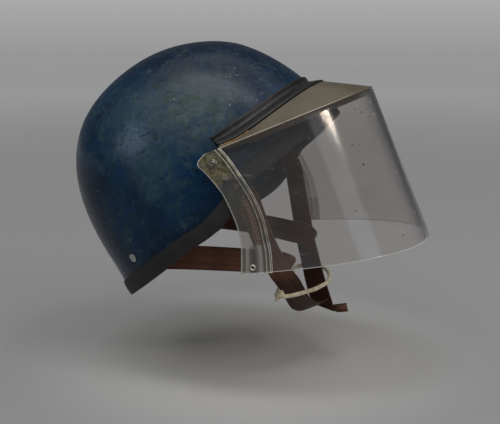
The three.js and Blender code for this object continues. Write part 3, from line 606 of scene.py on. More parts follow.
# ---- Peak panel: from under the moulding's lip to the visor's crease, with a flange turned down inside ----

PANEL_TUCK = 5.5
FLANGE_DROP = 4.5
FLANGE_WALL = 1.2
PANEL_CREASE = 187.5
FLANGE_FADE = 6.0
LIP_HANG = 1.3 / 3
# Grid steps from each corner to the next: the long top has twelve and the long underside too
PANEL_SPANS = (3, 12, 2, 2, 2, 2, 2, 2, 12, 2)


def panel_section(share):
    turn = MOULDING_END * share
    lip, _, reach = lip_at(turn)
    bend = PANEL_CREASE * share
    under = lip - LIP_HANG - GAP
    tuck = min(PANEL_TUCK, reach - 1.25 * PANEL_WALL)
    fade = min(1, (1 - abs(share)) * FLANGE_FADE)
    step = PANEL_WALL / 4
    drop = PANEL_WALL + step + (FLANGE_DROP - step) * fade
    inner = -VISOR_WALL - GAP
    corners = [
        on_shell(turn, under, reach - tuck),
        on_shell(turn, under - step / 4, reach + step / 2),
        on_visor(bend, 0, -step),
        on_visor(bend, step, 0),
        on_visor(bend, PANEL_WALL, 0),
        on_visor(bend, PANEL_WALL, inner),
        on_visor(bend, drop, inner),
        on_visor(bend, drop, inner - FLANGE_WALL),
        on_visor(bend, PANEL_WALL + step / 2, inner - FLANGE_WALL),
        on_shell(turn, under - PANEL_WALL, reach - tuck + step),
    ]
    points = []
    for here, following, steps in zip(corners, corners[1:] + corners[:1], PANEL_SPANS):
        points += [here.lerp(following, i / steps) for i in range(steps)]
    return points + [corners[0]]


panel_rings = [panel_section(share) for share in spread(140)]
PANEL_POINTS = len(panel_rings[0]) - 1
panel = skinned("peak_panel_sheet", panel_rings)
ease(panel, 0.3, 30, 40)

# ---- Old glue that has run out between the moulding's lip and the peak at the rear end ----

GLUE_THIN, GLUE_RADIUS, GLUE_SWELL = 0.22, 0.62, 0.75


def glue_path(share):
    turn = -MOULDING_END * (0.99 - 0.17 * share)
    lip, _, reach = lip_at(turn)
    return on_shell(turn, lip - 0.9, reach - 0.3)


def glue_radius(angle, distance):
    broad, fine = Vector((distance * 0.5, 3.0, 0.0)), Vector((distance * 1.7, angle, 2.0))
    swell = noise.noise(broad) + 0.4 * noise.noise(fine)
    return max(GLUE_THIN, GLUE_RADIUS + GLUE_SWELL * swell)


glue_line = smooth_path([glue_path(i / 8) for i in range(9)], 90)
glue_bead = tube("moulding_glue", glue_line, 14, glue_radius)
smooth(glue_bead, 180)

# ---- Side strips: clear plastic over the visor's rear edges, with two round ridges along the front ----

CREST = STRIP_WALL + RIDGE_RISE
STRIP_REAR = [(0, GAP), (0, 1.1), (-0.25, 1.8), (-0.9, 2.3), (-1.8, STRIP_WALL), (-4.5, STRIP_WALL)]
STRIP_RIDGES = [
    (3.2, STRIP_WALL), (1.6, STRIP_WALL), (1.05, 2.75), (0.5, 3.4), (0, CREST), (-0.5, 3.4), (-1.05, 2.75),
    (-1.5, 2.55), (-1.95, 2.75), (-2.5, 3.4), (-RIDGE_PITCH, CREST), (-3.5, 3.4), (-4.05, 2.6),
]


def strip_section(level):
    drop = STRIP_LENGTH * level
    rear, ridge = strip_edges(drop)
    front = ridge - RIDGE_PITCH - RIDGE_FOOT
    steps = [(rear + side, out) for side, out in STRIP_REAR]
    steps += [((rear + ridge) / 2, STRIP_WALL)]
    steps += [(ridge + side, out) for side, out in STRIP_RIDGES]
    steps += [(front, 1.8), (front, GAP), ((rear + front) / 2, GAP), (rear, GAP)]
    back = bend_at(rear)[0]
    return [
        on_visor(-bend, drop + level * FOOT_SLOPE * (back - bend_at(bend)[0]), out) for bend, out in steps
    ]


STRIP_ROWS = 64
strip_rings = [strip_section(i / STRIP_ROWS) for i in range(STRIP_ROWS + 1)]
STRIP_POINTS = len(strip_rings[0]) - 1
strip_right = skinned("side_strip_right_sheet", strip_rings)
ease(strip_right, 0.35, 50, 40)
strip_left = mirrored_copy(strip_right, "side_strip_left_sheet")

# ---- Fastenings, made on the wearer's right and copied to the left ----

SCREW = {"bend": 0.99, "drop": 0.0925, "head": 3.7, "rise": 1.7, "shank": 1.8}
PIN = {"bend": 0.9637, "drop": 0.227, "head": 2.9, "rise": 1.0, "shank": 1.5}
EYELET = {"bend": 1.0015, "drop": 0.976, "flange": 2.7, "bore": 1.3, "barrel": 1.8}
RIVET = {"turn": 125.4, "height": 0.1378, "head": 4.2, "rise": 1.3, "shank": 1.7}
SCREW_REACH = SHELL_WALL + 1.2
FACET_SLACK = 1.1
STRAP_WALL = 2.2
REST = STRIP_WALL + GAP


def fixing_at(fixing):
    bend, drop = -fixing["bend"] * STRIP_WAIST, fixing["drop"] * STRIP_LENGTH
    point = on_visor(bend, drop, 0)
    return point, on_visor(bend, drop, 1) - point


def dome_share(p):
    """Under 1 inside the shell's outer skin and over 1 outside it."""
    dx, dz = p.x - SHELL_CENTRE[0], p.z - SHELL_CENTRE[1]
    cos, sin = math.cos(PITCH), math.sin(PITCH)
    up = -dx * sin + dz * cos
    forward = dx * cos + dz * sin + REAR_LENGTH * CROWN_LEAN * up / DOME_HEIGHT
    length = FRONT_LENGTH if forward > 0 else REAR_LENGTH
    plan = abs(forward / length) ** PLAN_ROUNDNESS + abs(p.y / HALF_WIDTH) ** PLAN_ROUNDNESS
    return plan ** (PROFILE_ROUNDNESS / PLAN_ROUNDNESS) + abs(up / DOME_HEIGHT) ** PROFILE_ROUNDNESS


def depth_to_shell(fixing):
    point, outward = fixing_at(fixing)
    depth = VISOR_WALL
    while dome_share(point - outward * depth) > 1:
        depth += 0.05
    return depth


def clenched_foot(clench, shank):
    """The hidden end of a fastening, spread inside the shell."""
    return [
        (shank * 0.6, -clench - 1.5), (shank * 1.3, -clench - 1.2), (shank * 1.7, -clench - 0.7),
        (shank * 1.7, -clench), (shank, -clench),
    ]


def slot_cutter(width, length, depth, top, degrees):
    select_only()
    bpy.ops.mesh.primitive_cube_add(size=1, location=(0, 0, (top - depth / 2) * MM))
    cutter = named("slot_cutter")
    cutter.scale = (width * MM, length * MM, depth * MM)
    bpy.ops.object.transform_apply(location=True, rotation=True, scale=True)
    cutter.data.transform(Quaternion((0, 0, 1), math.radians(degrees)).to_matrix().to_4x4())
    return cutter


def pair(piece, name, point, outward):
    seat(piece, point, outward)
    smooth(piece, 35)
    piece.name = piece.data.name = f"{name}_right_turned"
    return piece, mirrored_copy(piece, f"{name}_left_turned")


# Screw: a slotted round head inside a raised ring
head, top = SCREW["head"], REST + SCREW["rise"]
screw = turned("screw", [
    *clenched_foot(depth_to_shell(SCREW) + SCREW_REACH, SCREW["shank"]), (SCREW["shank"], REST),
    (head - 0.15, REST), (head, REST + 0.15), (head, REST + 0.4), (head - 0.2, REST + 0.6),
    (head - 0.75, REST + 0.62), (head - 0.95, REST + 0.45), (head - 1.1, REST + 0.2),
    (head - 1.2, REST + 0.2), (head - 1.25, top - 0.65), (head - 1.5, top - 0.3),
    (head - 2.1, top - 0.08), (0.5, top),
])
cutter = slot_cutter(0.75, 2.4 * head, 0.8, top + 0.1, 35)
apply_modifier(screw, "BOOLEAN", operation="DIFFERENCE", solver="EXACT", object=cutter)
bpy.data.objects.remove(cutter)
screws = pair(screw, "strip_screw", *fixing_at(SCREW))

# Pin: a low domed head
head, top = PIN["head"], REST + PIN["rise"]
pin = turned("pin", [
    *clenched_foot(depth_to_shell(PIN) + SCREW_REACH + FACET_SLACK + STRAP_WALL, PIN["shank"]),
    (PIN["shank"], REST), (head - 0.2, REST), (head, REST + 0.2), (head - 0.05, REST + 0.4),
    (head * 0.85, REST + 0.68), (head * 0.6, top - 0.12), (head * 0.3, top - 0.02), (0.3, top),
])
pins = pair(pin, "strip_pin", *fixing_at(PIN))

# Eyelet: a rolled metal ring with an open bore, laid out as a closed ring section
flange, bore, barrel = EYELET["flange"], EYELET["bore"], EYELET["barrel"]
foot = -VISOR_WALL - GAP
EYELET_SECTION = [
    (bore, foot - 0.45), (bore + 0.25, foot - 0.75), (bore + 0.7, foot - 0.8), (flange - 0.3, foot - 0.55),
    (flange, foot - 0.2), (flange, foot), (barrel, foot), (barrel, REST), (flange, REST),
    (flange + 0.02, REST + 0.2), (flange - 0.2, REST + 0.5), (flange - 0.6, REST + 0.72),
    (bore + 0.55, REST + 0.78), (bore + 0.25, REST + 0.65), (bore, REST + 0.3), (bore, foot - 0.45),
]


def eyelet_place(u, v):
    radius, height = EYELET_SECTION[round(u * (len(EYELET_SECTION) - 1))]
    angle = 2 * math.pi * v
    return Vector((radius * math.cos(angle), radius * math.sin(angle), height))


eyelet = laid_out("eyelet", len(EYELET_SECTION) - 1, 40, eyelet_place)
edit_all(eyelet, face_out)
eyelets = pair(eyelet, "strip_eyelet", *fixing_at(EYELET))

# Rivet: a flat-domed head with a small hollow in its middle
rivet_rise = rise_of(RIVET["height"] * DOME_HEIGHT)
rivet_point, rivet_out = dome(-RIVET["turn"], rivet_rise), dome_normal(-RIVET["turn"], rivet_rise)
head, top = RIVET["head"], GAP + RIVET["rise"]
rivet = turned("rivet", [
    *clenched_foot(SHELL_WALL + FACET_SLACK + STRAP_WALL + 3 * GAP, RIVET["shank"]), (RIVET["shank"], GAP),
    (head - 0.25, GAP), (head, GAP + 0.2), (head - 0.1, GAP + 0.5), (head * 0.82, top - 0.3),
    (head * 0.6, top - 0.06), (head * 0.45, top), (head * 0.3, top - 0.12), (head * 0.12, top - 0.3),
])
rivets = pair(rivet, "shell_rivet", rivet_point, rivet_out)

# ---- Leather straps: flat bands with a pressed line along each edge ----

STRAP_WIDTH = 22.0
STRAP_WAVE, WAVE_SCALE, WAVE_SPREAD = 0.12, 0.09, 0.02
TANGENT_STEP = 0.05
# How far in from the band's edge, and the height over its middle as a share of the wall
STRAP_TOP = [
    (0, 0.0), (0.12, 0.3), (0.45, 0.45), (1.0, 0.5), (1.7, 0.5), (2.0, 0.42), (2.3, 0.42), (2.6, 0.5),
]


def strap_outline(half):
    """The band's section, from one edge over the top to the other and back underneath."""
    top = [(half - inset, share) for inset, share in STRAP_TOP]
    top += [(half * 0.5, 0.53), (half * 0.2, 0.54)]
    whole = top + [(-side, share) for side, share in reversed(top)]
    under = [(half - inset, -share) for inset, share in STRAP_TOP[1:4]]
    under += [(half * 0.4, -0.5)]
    low = [(-side, share) for side, share in under] + [(side, share) for side, share in reversed(under)]
    return [*whole, *low, whole[0]]


def strap(name, rows, steps, mirror=False):
    """A band through rows of a place, its lean and swing in degrees and its share of the full width."""
    keyed = [(i, *row) for i, row in enumerate(rows)]
    last = len(rows) - 1
    rings = []
    # The strap's good side starts away from the head and keeps its side as the strap turns
    good_side = Vector((0, -1, 0))
    for i in range(steps + 1):
        at = last * i / steps
        x, y, z, lean, swing, share = read_table(keyed, at)
        lean, swing = math.radians(lean), math.radians(swing)
        across = Vector((math.cos(lean) * math.cos(swing), math.sin(swing), math.sin(lean) * math.cos(swing)))
        ahead = Vector(read_table(keyed, min(at + TANGENT_STEP, last))[:3])
        behind = Vector(read_table(keyed, max(at - TANGENT_STEP, 0))[:3])
        face = (ahead - behind).cross(across).normalized()
        if face.dot(good_side) < 0:
            face = -face
        good_side = face
        # A worn strap waves and cups a little along its length
        centre = Vector((x, y, z))
        wave = STRAP_WAVE * noise.noise(centre * WAVE_SCALE)
        ring = [
            centre + across * side * (1 + wave * WAVE_SPREAD) + face * (out * STRAP_WALL + wave)
            for side, out in strap_outline(STRAP_WIDTH * share / 2)
        ]
        rings.append([Vector((p.x, -p.y, p.z)) for p in ring] if mirror else ring)
    piece = skinned(name, rings)
    ease(piece, 0.25, 60, 50)
    return piece


CHIN_TOP = [
    (41.5, -102.9, -101.0, 36, 18.7, 0.95), (46.3, -104.8, -111.2, 34, 17.4, 0.95),
    (54.0, -102.6, -123.4, 31, 16.3, 0.95), (60.8, -99.0, -133.9, 28, 9, 0.95),
    (70.7, -86.0, -170.2, 29, 2, 0.95), (80.7, -67.5, -202.0, 30, 3, 0.96),
]
CHIN_UNDER = [
    (88.8, -52.5, -220.7, 35, 8, 0.97), (92.5, -40.5, -234.5, 34, 14, 0.96),
    (94.7, -28.5, -245.2, 30, 20, 0.96), (98.8, -14.5, -252.9, 24, 26, 0.94),
    (103.7, 0.0, -256.0, 20, 27, 0.9), (107.0, 9.0, -256.0, 22, 26, 0.86),
]
CHIN_TAIL = [
    (88.5, -54.0, -220.7, 32, 3, 0.97), (95.0, -44.5, -238.1, 31, 1, 0.99), (101.3, -36.5, -252.2, 27, 4, 1),
    (107.5, -26.0, -259.1, 18, 16, 0.98), (114.5, -12.0, -261.1, 4, 38, 0.98),
    (120.5, -4.5, -259.6, 4, 56, 1), (128.3, -1.5, -257.5, 2, 70, 1.02),
    (136.5, -1.0, -255.7, -4, 79, 1.02),
]
NAPE = [
    (-53.7, -87.3, -193.1, 89, -23, 1.03), (-49.3, -89.8, -193.1, 89, -21.5, 1.03),
    (-42.4, -93.0, -193.1, 89, -20, 1.03), (-33.0, -94.8, -193.1, 89, -18, 1.03),
    (-20.4, -91.1, -192.2, 89, 2, 1.03), (11.2, -84.2, -192.6, 89, -1, 1.04),
    (44.9, -74.5, -194.7, 89, -6, 1.05), (66.0, -67.6, -196.5, 88, -14, 1.05),
    (81.7, -62.1, -197.0, 88, -20, 1.02), (90.3, -58.4, -197.0, 90, -21, 0.72),
    (95.0, -56.1, -195.5, 88, -20, 0.2),
]
chin_right = strap("chin_strap_right_leather", CHIN_TOP + CHIN_UNDER, 150)
chin_left = strap("chin_strap_left_leather", CHIN_TOP + CHIN_TAIL, 170, mirror=True)
nape_right = strap("nape_strap_right_leather", NAPE, 130)
nape_left = strap("nape_strap_left_leather", NAPE, 130, mirror=True)


# ---- Finishes ----

class Socket:
    """A shader value that adds Math nodes when it is used in an expression."""

    def __init__(self, finish, output):
        self.finish = finish
        self.output = output

    def math(self, operation, *values):
        return self.finish.node("Math", {"operation": operation}, dict(enumerate(values)))

    def __add__(self, other):
        return self.math("ADD", self, other)

    def __sub__(self, other):
        return self.math("SUBTRACT", self, other)

    def __rsub__(self, other):
        return self.math("SUBTRACT", other, self)

    def __mul__(self, other):
        return self.math("MULTIPLY", self, other)

    __radd__ = __add__

    def size(self):
        return self.math("ABSOLUTE", self)


class Finish:
    """A material under construction."""

    def __init__(self, name):
        self.material = bpy.data.materials.new(name)
        self.material.use_nodes = True
        self.tree = self.material.node_tree
        self.tree.nodes.clear()
        self.place = self.node("TexCoord", {}, {}, "Object")
        self.flat = self.node("TexCoord", {}, {}, "UV")

    def node(self, kind, settings, sockets, output=0):
        node = self.tree.nodes.new(f"ShaderNode{kind}")
        for key, value in settings.items():
            setattr(node, key, value)
        for key, value in sockets.items():
            socket = node.inputs[key]
            if isinstance(value, Socket):
                self.tree.links.new(value.output, socket)
            elif hasattr(value, "__len__") and socket.type == "RGBA" and len(value) == 3:
                socket.default_value = (*value, 1)
            else:
                socket.default_value = value
        return Socket(self, node.outputs[output])

    def axis(self, source, name):
        """One coordinate of a place or of the UV map."""
        return self.node("SeparateXYZ", {}, {0: source}, name)

    def distance(self, point):
        return self.node("VectorMath", {"operation": "DISTANCE"}, {0: self.place, 1: point}, "Value")

    def stretched(self, scale, turn=(0, 0, 0), source=None):
        return self.node("Mapping", {}, {"Vector": source or self.place, "Rotation": turn, "Scale": scale})

    def cloud(self, scale, detail, rough=0.55, source=None, distortion=0.0):
        """Soft noise from 0 to 1."""
        return self.node("TexNoise", {}, {
            "Vector": source or self.place, "Scale": scale, "Detail": detail, "Roughness": rough,
            "Distortion": distortion,
        })

    def cells(self, scale):
        """The distance to the nearest of many scattered points."""
        return self.node("TexVoronoi", {}, {"Vector": self.place, "Scale": scale}, "Distance")

    def window(self, value, low, high):
        """0 under low and 1 over high, or the other way round where low is the larger."""
        sockets = {"Value": value, "From Min": low, "From Max": high}
        return self.node("MapRange", {"interpolation_type": "SMOOTHSTEP"}, sockets)

    def spot(self, centre, radius, soft, stray, stray_scale):
        """1 within a radius of a place on the piece, in millimetres, with an uneven edge."""
        away = self.distance([c * MM for c in centre])
        away = away + (self.cloud(stray_scale, 3.0) - 0.5) * (stray * MM)
        return self.window(away, (radius + soft) * MM, max(radius - soft, 0) * MM)

    def marks(self, places, stray, stray_scale):
        """Small spots, from pairs of a centre and a radius."""
        return self.most(*(self.spot(centre, radius, 0.4, stray, stray_scale) for centre, radius in places))

    def line(self, value, centre, half):
        """1 where a value is at its centre, and 0 from half its width on."""
        return self.window((value - centre).size(), half, half * 0.35)

    def layers(self, colour, *coats):
        """A colour with others laid over it in turn, from pairs of a mask and a colour."""
        for mask, over in coats:
            colour = self.node("Mix", {"data_type": "RGBA"}, {0: mask, 6: colour, 7: over}, 2)
        return colour

    def most(self, first, *others):
        """The largest of several values."""
        for other in others:
            first = first.math("MAXIMUM", first, other)
        return first

    def clamp(self, value):
        return self.node("Clamp", {}, {"Value": value})

    def relief(self, height, distance, strength, under=None):
        """A bump from heights, its distance in millimetres."""
        sockets = {"Height": height, "Distance": distance * MM, "Strength": strength}
        if under is not None:
            sockets["Normal"] = under
        return self.node("Bump", {}, sockets, "Normal")

    def done(self, clear=None, body=None, **sockets):
        """The finished surface, from sockets of the main shader by their names with _ for each space.
        A sheet that lets light through gives the colour it passes and how much of its own is seen."""
        named_sockets = {key.replace("_", " "): value for key, value in sockets.items()}
        shader = self.node("BsdfPrincipled", {}, named_sockets)
        if clear is not None:
            through = self.node("BsdfTransparent", {}, {"Color": clear})
            shader = self.node("MixShader", {}, {0: self.clamp(body), 1: through, 2: shader})
        output = self.tree.nodes.new("ShaderNodeOutputMaterial")
        self.tree.links.new(shader.output, output.inputs["Surface"])
        return self.material


def shell_paint():
    """Deep blue gloss paint, faded and worn to teal, grey and olive, with chips, scuffs and scratches, a
    painted highlight with glints over the brow, painted highlights on the side and painted shade over the
    top.
    """
    f = Finish("shell_paint")
    broad = f.cloud(13, 5, 0.62, distortion=0.5)
    mottle = f.cloud(70, 6, 0.7, distortion=0.3)
    blotch = f.cloud(115, 5, 0.7, distortion=0.6)
    fleck = f.cloud(230, 4, 0.7)
    # The top and the upper side have faded in soft clouds. The lilac haze over the brow is a painted
    # highlight along the arc of the overhead lamp's reflection, and the pale blue patch on the side and the
    # softer patch below it are painted highlights too.
    faded = f.window(f.spot((-42, -94, -72), 46, 44, 34, 18) * (mottle + 0.15), 0.16, 0.7)
    worn_top = f.window(f.spot((8, -90, -52), 42, 40, 40, 24) * (mottle + 0.12), 0.18, 0.66)
    lilac_painted_highlight = f.spot((22, -74, -25), 24, 24, 24, 24) * f.window(mottle, 0.35, 0.62)
    side_painted_highlight = f.window(f.spot((-44, -99, -86), 17, 17, 26, 24) * (mottle + 0.15), 0.1, 0.62)
    lower_painted_highlight = f.window(f.spot((-22, -112, -108), 24, 24, 26, 24) * (mottle + 0.15), 0.1, 0.66)
    # Chips through the paint
    chip = f.window(f.cells(34), 0.05, 0.03) * f.window(broad, 0.52, 0.64)
    chip = f.most(chip, f.marks([
        ((-9, -91.2, -47.4), 0.8), ((-84.4, -92.3, -132.9), 0.7), ((41, -86.3, -52), 0.5),
        ((62.2, -73.1, -48.2), 0.6),
    ], 2.6, 700))
    # Short pale scuffs over the brow, with painted glints of the highlight among them in small bright strokes
    # and clusters, and dark scratches on the side
    brow = f.spot((50, -74, -34), 26, 20, 20, 60)
    grazes_and_glints = f.cloud(150, 6, 0.78, f.stretched((1, 1, 4), (0.2, 0.5, 0.4)), 0.4)
    scuff = f.window(grazes_and_glints, 0.56, 0.64) * brow
    painted_glint = f.window(grazes_and_glints + fleck * 0.35, 0.83, 0.88) * f.window(brow + worn_top * 0.3, 0.35, 0.9)
    cluster = f.most(f.spot((55.5, -75, -45.5), 8, 6, 8, 150), f.spot((34.5, -95.2, -62.9), 5, 4, 5, 150))
    strokes = f.window(f.cloud(330, 5, 0.8, f.stretched((1, 1, 4), (0.4, 0.2, 0.6)), 0.2), 0.56, 0.66)
    painted_glint = f.most(painted_glint, strokes * f.window(cluster, 0.2, 0.9) * 0.75)
    scratch = f.window(f.cloud(60, 2, 0.5, f.stretched((1, 9, 1), (0.3, 0.2, 0.9))), 0.66, 0.7)
    nick = f.window(f.cloud(150, 3, 0.6, f.stretched((5, 1, 1), (0.1, 0.9, 0.3))), 0.62, 0.68)
    nick = nick * f.spot((18, -99.5, -65), 11, 5, 8, 80)
    colour = f.layers(
        (0.0032, 0.014, 0.036), (f.window(broad, 0.36, 0.6), (0.0045, 0.031, 0.078)),
        (f.window(mottle + broad * 0.5, 0.72, 0.95) * 0.7, (0.018, 0.055, 0.07)),
        (faded * 0.85, (0.04, 0.078, 0.112)), (worn_top * 0.8, (0.068, 0.1, 0.1)),
        (f.window(blotch, 0.49, 0.58) * worn_top * 0.6, (0.046, 0.056, 0.036)),
        # Painted highlights: the lilac haze along the lamp's arc and the pale patches on the side and below
        # it
        (lilac_painted_highlight * 0.4, (0.085, 0.088, 0.115)), (side_painted_highlight * 0.8, (0.11, 0.165, 0.225)),
        (lower_painted_highlight * 0.65, (0.042, 0.084, 0.108)),
        # Painted shade: the top of the dome darker, where the light falls most strongly
        (f.window(f.axis(f.place, "Z"), -0.05, -0.012) * 0.85, (0.0022, 0.0085, 0.023)),
        # Small blotches of green and of clear blue all over, and dark pits
        (f.window(blotch, 0.51, 0.62) * 0.4, (0.016, 0.042, 0.038)),
        (f.window(blotch, 0.46, 0.36) * 0.34, (0.0075, 0.034, 0.1)),
        (f.window(fleck * mottle, 0.29, 0.4) * 0.4, (0.07, 0.105, 0.115)),
        (f.window(fleck, 0.42, 0.33) * 0.6, (0.004, 0.01, 0.019)),
        (chip * 0.8, (0.32, 0.34, 0.36)), (scuff * 0.7, (0.13, 0.15, 0.175)),
        # Painted glints of the highlight over the brow
        (painted_glint * 0.85, (0.42, 0.44, 0.48)),
        (f.most(scratch * 0.5, nick * 0.9), (0.003, 0.005, 0.008)),
    )
    rough = f.window(mottle, 0.3, 0.8) * 0.16 + worn_top * 0.06 + chip * 0.3 + scuff * 0.1 + 0.21
    bump = f.relief(f.cloud(420, 4, 0.6), 0.05, 0.6)
    pitted = mottle * 0.7 + fleck * (0.3 + (brow + worn_top) * 0.5) + (scuff + painted_glint) * 0.5
    pitted = pitted - chip * 0.8 - scratch * 0.5 - nick * 0.6
    return f.done(
        Base_Color=colour, Roughness=f.clamp(rough), Normal=f.relief(pitted, 0.2, 0.8, bump),
        Specular_IOR_Level=0.65, IOR=1.22,
    )


def edging_rubber():
    """Matt charcoal rubber with dust in its grain."""
    f = Finish("edging_rubber")
    dust = f.cloud(30, 6, 0.7)
    grain = f.cloud(700, 3, 0.6)
    colour = f.layers(
        (0.007, 0.0075, 0.0075), (f.window(dust, 0.45, 0.75), (0.018, 0.018, 0.0175)),
        (f.window(f.cells(130), 0.12, 0.03) * 0.3, (0.06, 0.057, 0.05)),
    )
    rough = f.window(dust, 0.3, 0.8) * 0.2 + 0.55
    return f.done(Base_Color=colour, Roughness=rough, Normal=f.relief(grain, 0.08, 0.7))


def moulding_rubber():
    """Brown-black rubber, polished grey along its hollow face."""
    f = Finish("moulding_rubber")
    dust = f.cloud(22, 6, 0.7)
    streak = f.cloud(55, 4, 0.6, f.stretched((1, 3, 1)))
    grain = f.cloud(500, 3, 0.6)
    colour = f.layers(
        (0.005, 0.0043, 0.0042), (f.window(dust, 0.4, 0.75), (0.0145, 0.0125, 0.0118)),
        (f.window(streak, 0.58, 0.75) * 0.4, (0.055, 0.051, 0.049)),
        (f.window(f.cells(160), 0.1, 0.03) * 0.35, (0.16, 0.14, 0.11)),
    )
    rough = f.window(streak, 0.35, 0.75) * 0.25 + 0.33
    bump = f.relief(grain + streak * 0.6, 0.07, 0.6)
    return f.done(Base_Color=colour, Roughness=rough, Normal=bump, Specular_IOR_Level=0.34)


def peak_sheet():
    """Olive-tan painted sheet with a painted cream highlight along its crease and a brown flange."""
    f = Finish("peak_sheet")
    cloud = f.cloud(20, 6, 0.65)
    fine = f.cloud(150, 5, 0.65)
    corner = f.axis(f.flat, "X") * PANEL_POINTS
    front = f.window(f.axis(f.place, "X"), 0.118, 0.15)
    # Painted highlight: a thin cream line along the crease, fading out towards the front
    crease = f.line(corner, 16.3, 1.1) * f.window(cloud + fine, 0.6, 0.95) * (1 - front * 0.85)
    speck = f.window(f.cells(90), 0.07, 0.035) * f.window(fine, 0.5, 0.6)
    colour = f.layers(
        (0.077, 0.062, 0.038), (f.window(cloud, 0.35, 0.7), (0.118, 0.098, 0.065)),
        (f.window(fine, 0.55, 0.75) * 0.4, (0.05, 0.042, 0.03)), (crease, (0.6, 0.54, 0.43)),
        (f.window(corner, 18.4, 20.0), (0.05, 0.036, 0.026)), (speck * 0.7, (0.02, 0.016, 0.012)),
    )
    rough = f.window(cloud, 0.3, 0.8) * 0.2 + 0.42
    bump = f.relief(fine, 0.06, 0.5)
    return f.done(Base_Color=colour, Roughness=rough, Normal=bump, Specular_IOR_Level=0.4)


def visor_sheet():
    """Clear sheet with a grey tint and haze, bright cut edges, fine scratches, dust and a few specks."""
    f = Finish("visor_sheet")
    haze = f.cloud(11, 5, 0.6, distortion=0.5)
    across = f.cloud(60, 3, 0.6, f.stretched((1, 1, 7), (0.5, 0.9, 0.2)))
    down = f.cloud(75, 3, 0.6, f.stretched((7, 1, 1), (0.2, 0.3, 1.0)))
    streak = f.most(f.window(across, 0.64, 0.74), f.window(down, 0.66, 0.75))
    dust = f.window(f.cells(115), 0.085, 0.03)
    speck = f.marks([
        ((151.8, -46.1, -59.6), 1.1), ((146.5, -52.7, -56.1), 0.7), ((147.1, -68.3, -86.3), 0.9),
        ((152.9, -61.9, -86.9), 0.7), ((157.0, -65.4, -103.6), 1.1), ((153.5, -83.5, -142.0), 0.9),
        ((192.4, -54.2, -167.4), 0.9),
    ], 1.0, 600)
    edge = f.window(f.node("LayerWeight", {}, {"Blend": 0.5}, "Facing"), 0.42, 0.93)
    from_middle = (f.axis(f.flat, "X") - 0.5).size()
    cut = f.most(f.window(f.axis(f.flat, "Y"), 0.9945, 0.998), f.window(from_middle, 0.4985, 0.4995))
    body = 0.062 + edge * 0.6 + f.window(haze, 0.35, 0.75) * 0.045 + streak * 0.06 + dust * 0.12
    body = body + speck * 0.85 + cut * 0.55
    colour = f.layers(
        (0.62, 0.63, 0.65), (edge, (0.06, 0.053, 0.044)), (f.clamp(streak + dust * 0.8), (0.75, 0.75, 0.73)),
        (cut, (0.8, 0.79, 0.75)), (speck, (0.035, 0.018, 0.014)),
    )
    rough = streak * 0.2 + dust * 0.4 + haze * 0.07 + 0.065
    metallic = 0.55 - f.clamp(cut + streak + dust + speck) * 0.55
    return f.done(
        clear=(0.925, 0.914, 0.9), body=body, Base_Color=colour, Roughness=f.clamp(rough),
        Metallic=metallic,
    )


def strip_plastic():
    """Aged clear plastic with painted highlights along its edges and ridge crests, painted shade in the
    groove between the ridges and a bright cut end at the foot, with old glue and marks along its front.
    """
    f = Finish("strip_plastic")
    step = f.axis(f.flat, "X") * STRIP_POINTS
    level = f.axis(f.flat, "Y")
    cloud = f.cloud(75, 5, 0.65, distortion=1.2)
    fine = f.cloud(220, 4, 0.6)
    glue = f.window(cloud * (f.window(level, 0.5, 0.1) * 0.8 + 0.3), 0.34, 0.5)
    bubble = f.window(f.cells(150), 0.34, 0.16) * glue
    # A ladder of short marks, and bands and shade under it at the foot
    rungs = f.window(level.math("SINE", level * 400 + cloud * 5), 0.0, 0.7)
    ladder = f.window(step, 6.3, 6.6) * f.window(step, 7.9, 7.5)
    ladder = ladder * f.window(level, 0.36, 0.46) * f.window(level, 0.8, 0.76)
    foot = f.window(level, 0.775, 0.8)
    bands = f.most(f.line(step, 5.15, 0.42), f.line(step, 6.9, 0.5)) * foot
    shade = f.line(step, 6.0, 0.5) * foot
    # Painted highlights along the rear edge, both ridge crests and the front edge; the last window is the
    # bright cut end at the foot
    bright = f.most(
        f.line(step, 2.6, 1.5), f.line(step, 11.0, 0.9), f.line(step, 17.0, 0.9), f.line(step, 19.8, 1.0)
    )
    bright = f.most(bright * (f.window(fine, 0.25, 0.6) * 0.4 + 0.6), f.window(level, 0.985, 0.995))
    # Painted shade in the groove between the two ridges
    painted_groove_shade = f.line(step, 14.0, 0.8)
    stain = f.layers((0.13, 0.115, 0.06), (f.window(fine, 0.38, 0.62), (0.34, 0.31, 0.16)))
    colour = f.layers(
        (0.3, 0.3, 0.28), (glue, stain), (bubble * 0.6, (0.46, 0.44, 0.34)),
        (ladder, (0.12, 0.075, 0.066)), (ladder * rungs, (0.33, 0.255, 0.225)),
        (bands * 0.8, (0.5, 0.49, 0.45)), (f.most(painted_groove_shade * 0.7, shade * 0.8), (0.05, 0.045, 0.045)),
        (bright, (0.72, 0.71, 0.66)),
    )
    edge = f.window(f.node("LayerWeight", {}, {"Blend": 0.5}, "Facing"), 0.4, 0.95)
    body = 0.1 + glue * 0.42 + ladder * (rungs * 0.25 + 0.3) + foot * 0.16 + bands * 0.25
    body = body + f.most(painted_groove_shade * 0.35, shade * 0.4) + bright * 0.42 + edge * 0.3
    return f.done(
        clear=(0.93, 0.925, 0.9), body=body, Base_Color=colour, Roughness=fine * 0.15 + 0.1,
        Normal=f.relief(cloud, 0.06, 0.4),
    )


def metal(name, clean, dark, rough, worn_scale=180):
    """Dull metal with darker tarnish in patches and fine scratches."""
    f = Finish(name)
    tarnish = f.cloud(worn_scale, 5, 0.65)
    return f.done(
        Base_Color=f.layers(clean, (f.window(tarnish, 0.4, 0.65), dark)),
        Roughness=f.window(tarnish, 0.3, 0.7) * 0.25 + rough,
        Metallic=1 - f.window(tarnish, 0.55, 0.75) * 0.6,
        Normal=f.relief(f.cloud(900, 3, 0.6) + tarnish, 0.06, 0.5),
    )


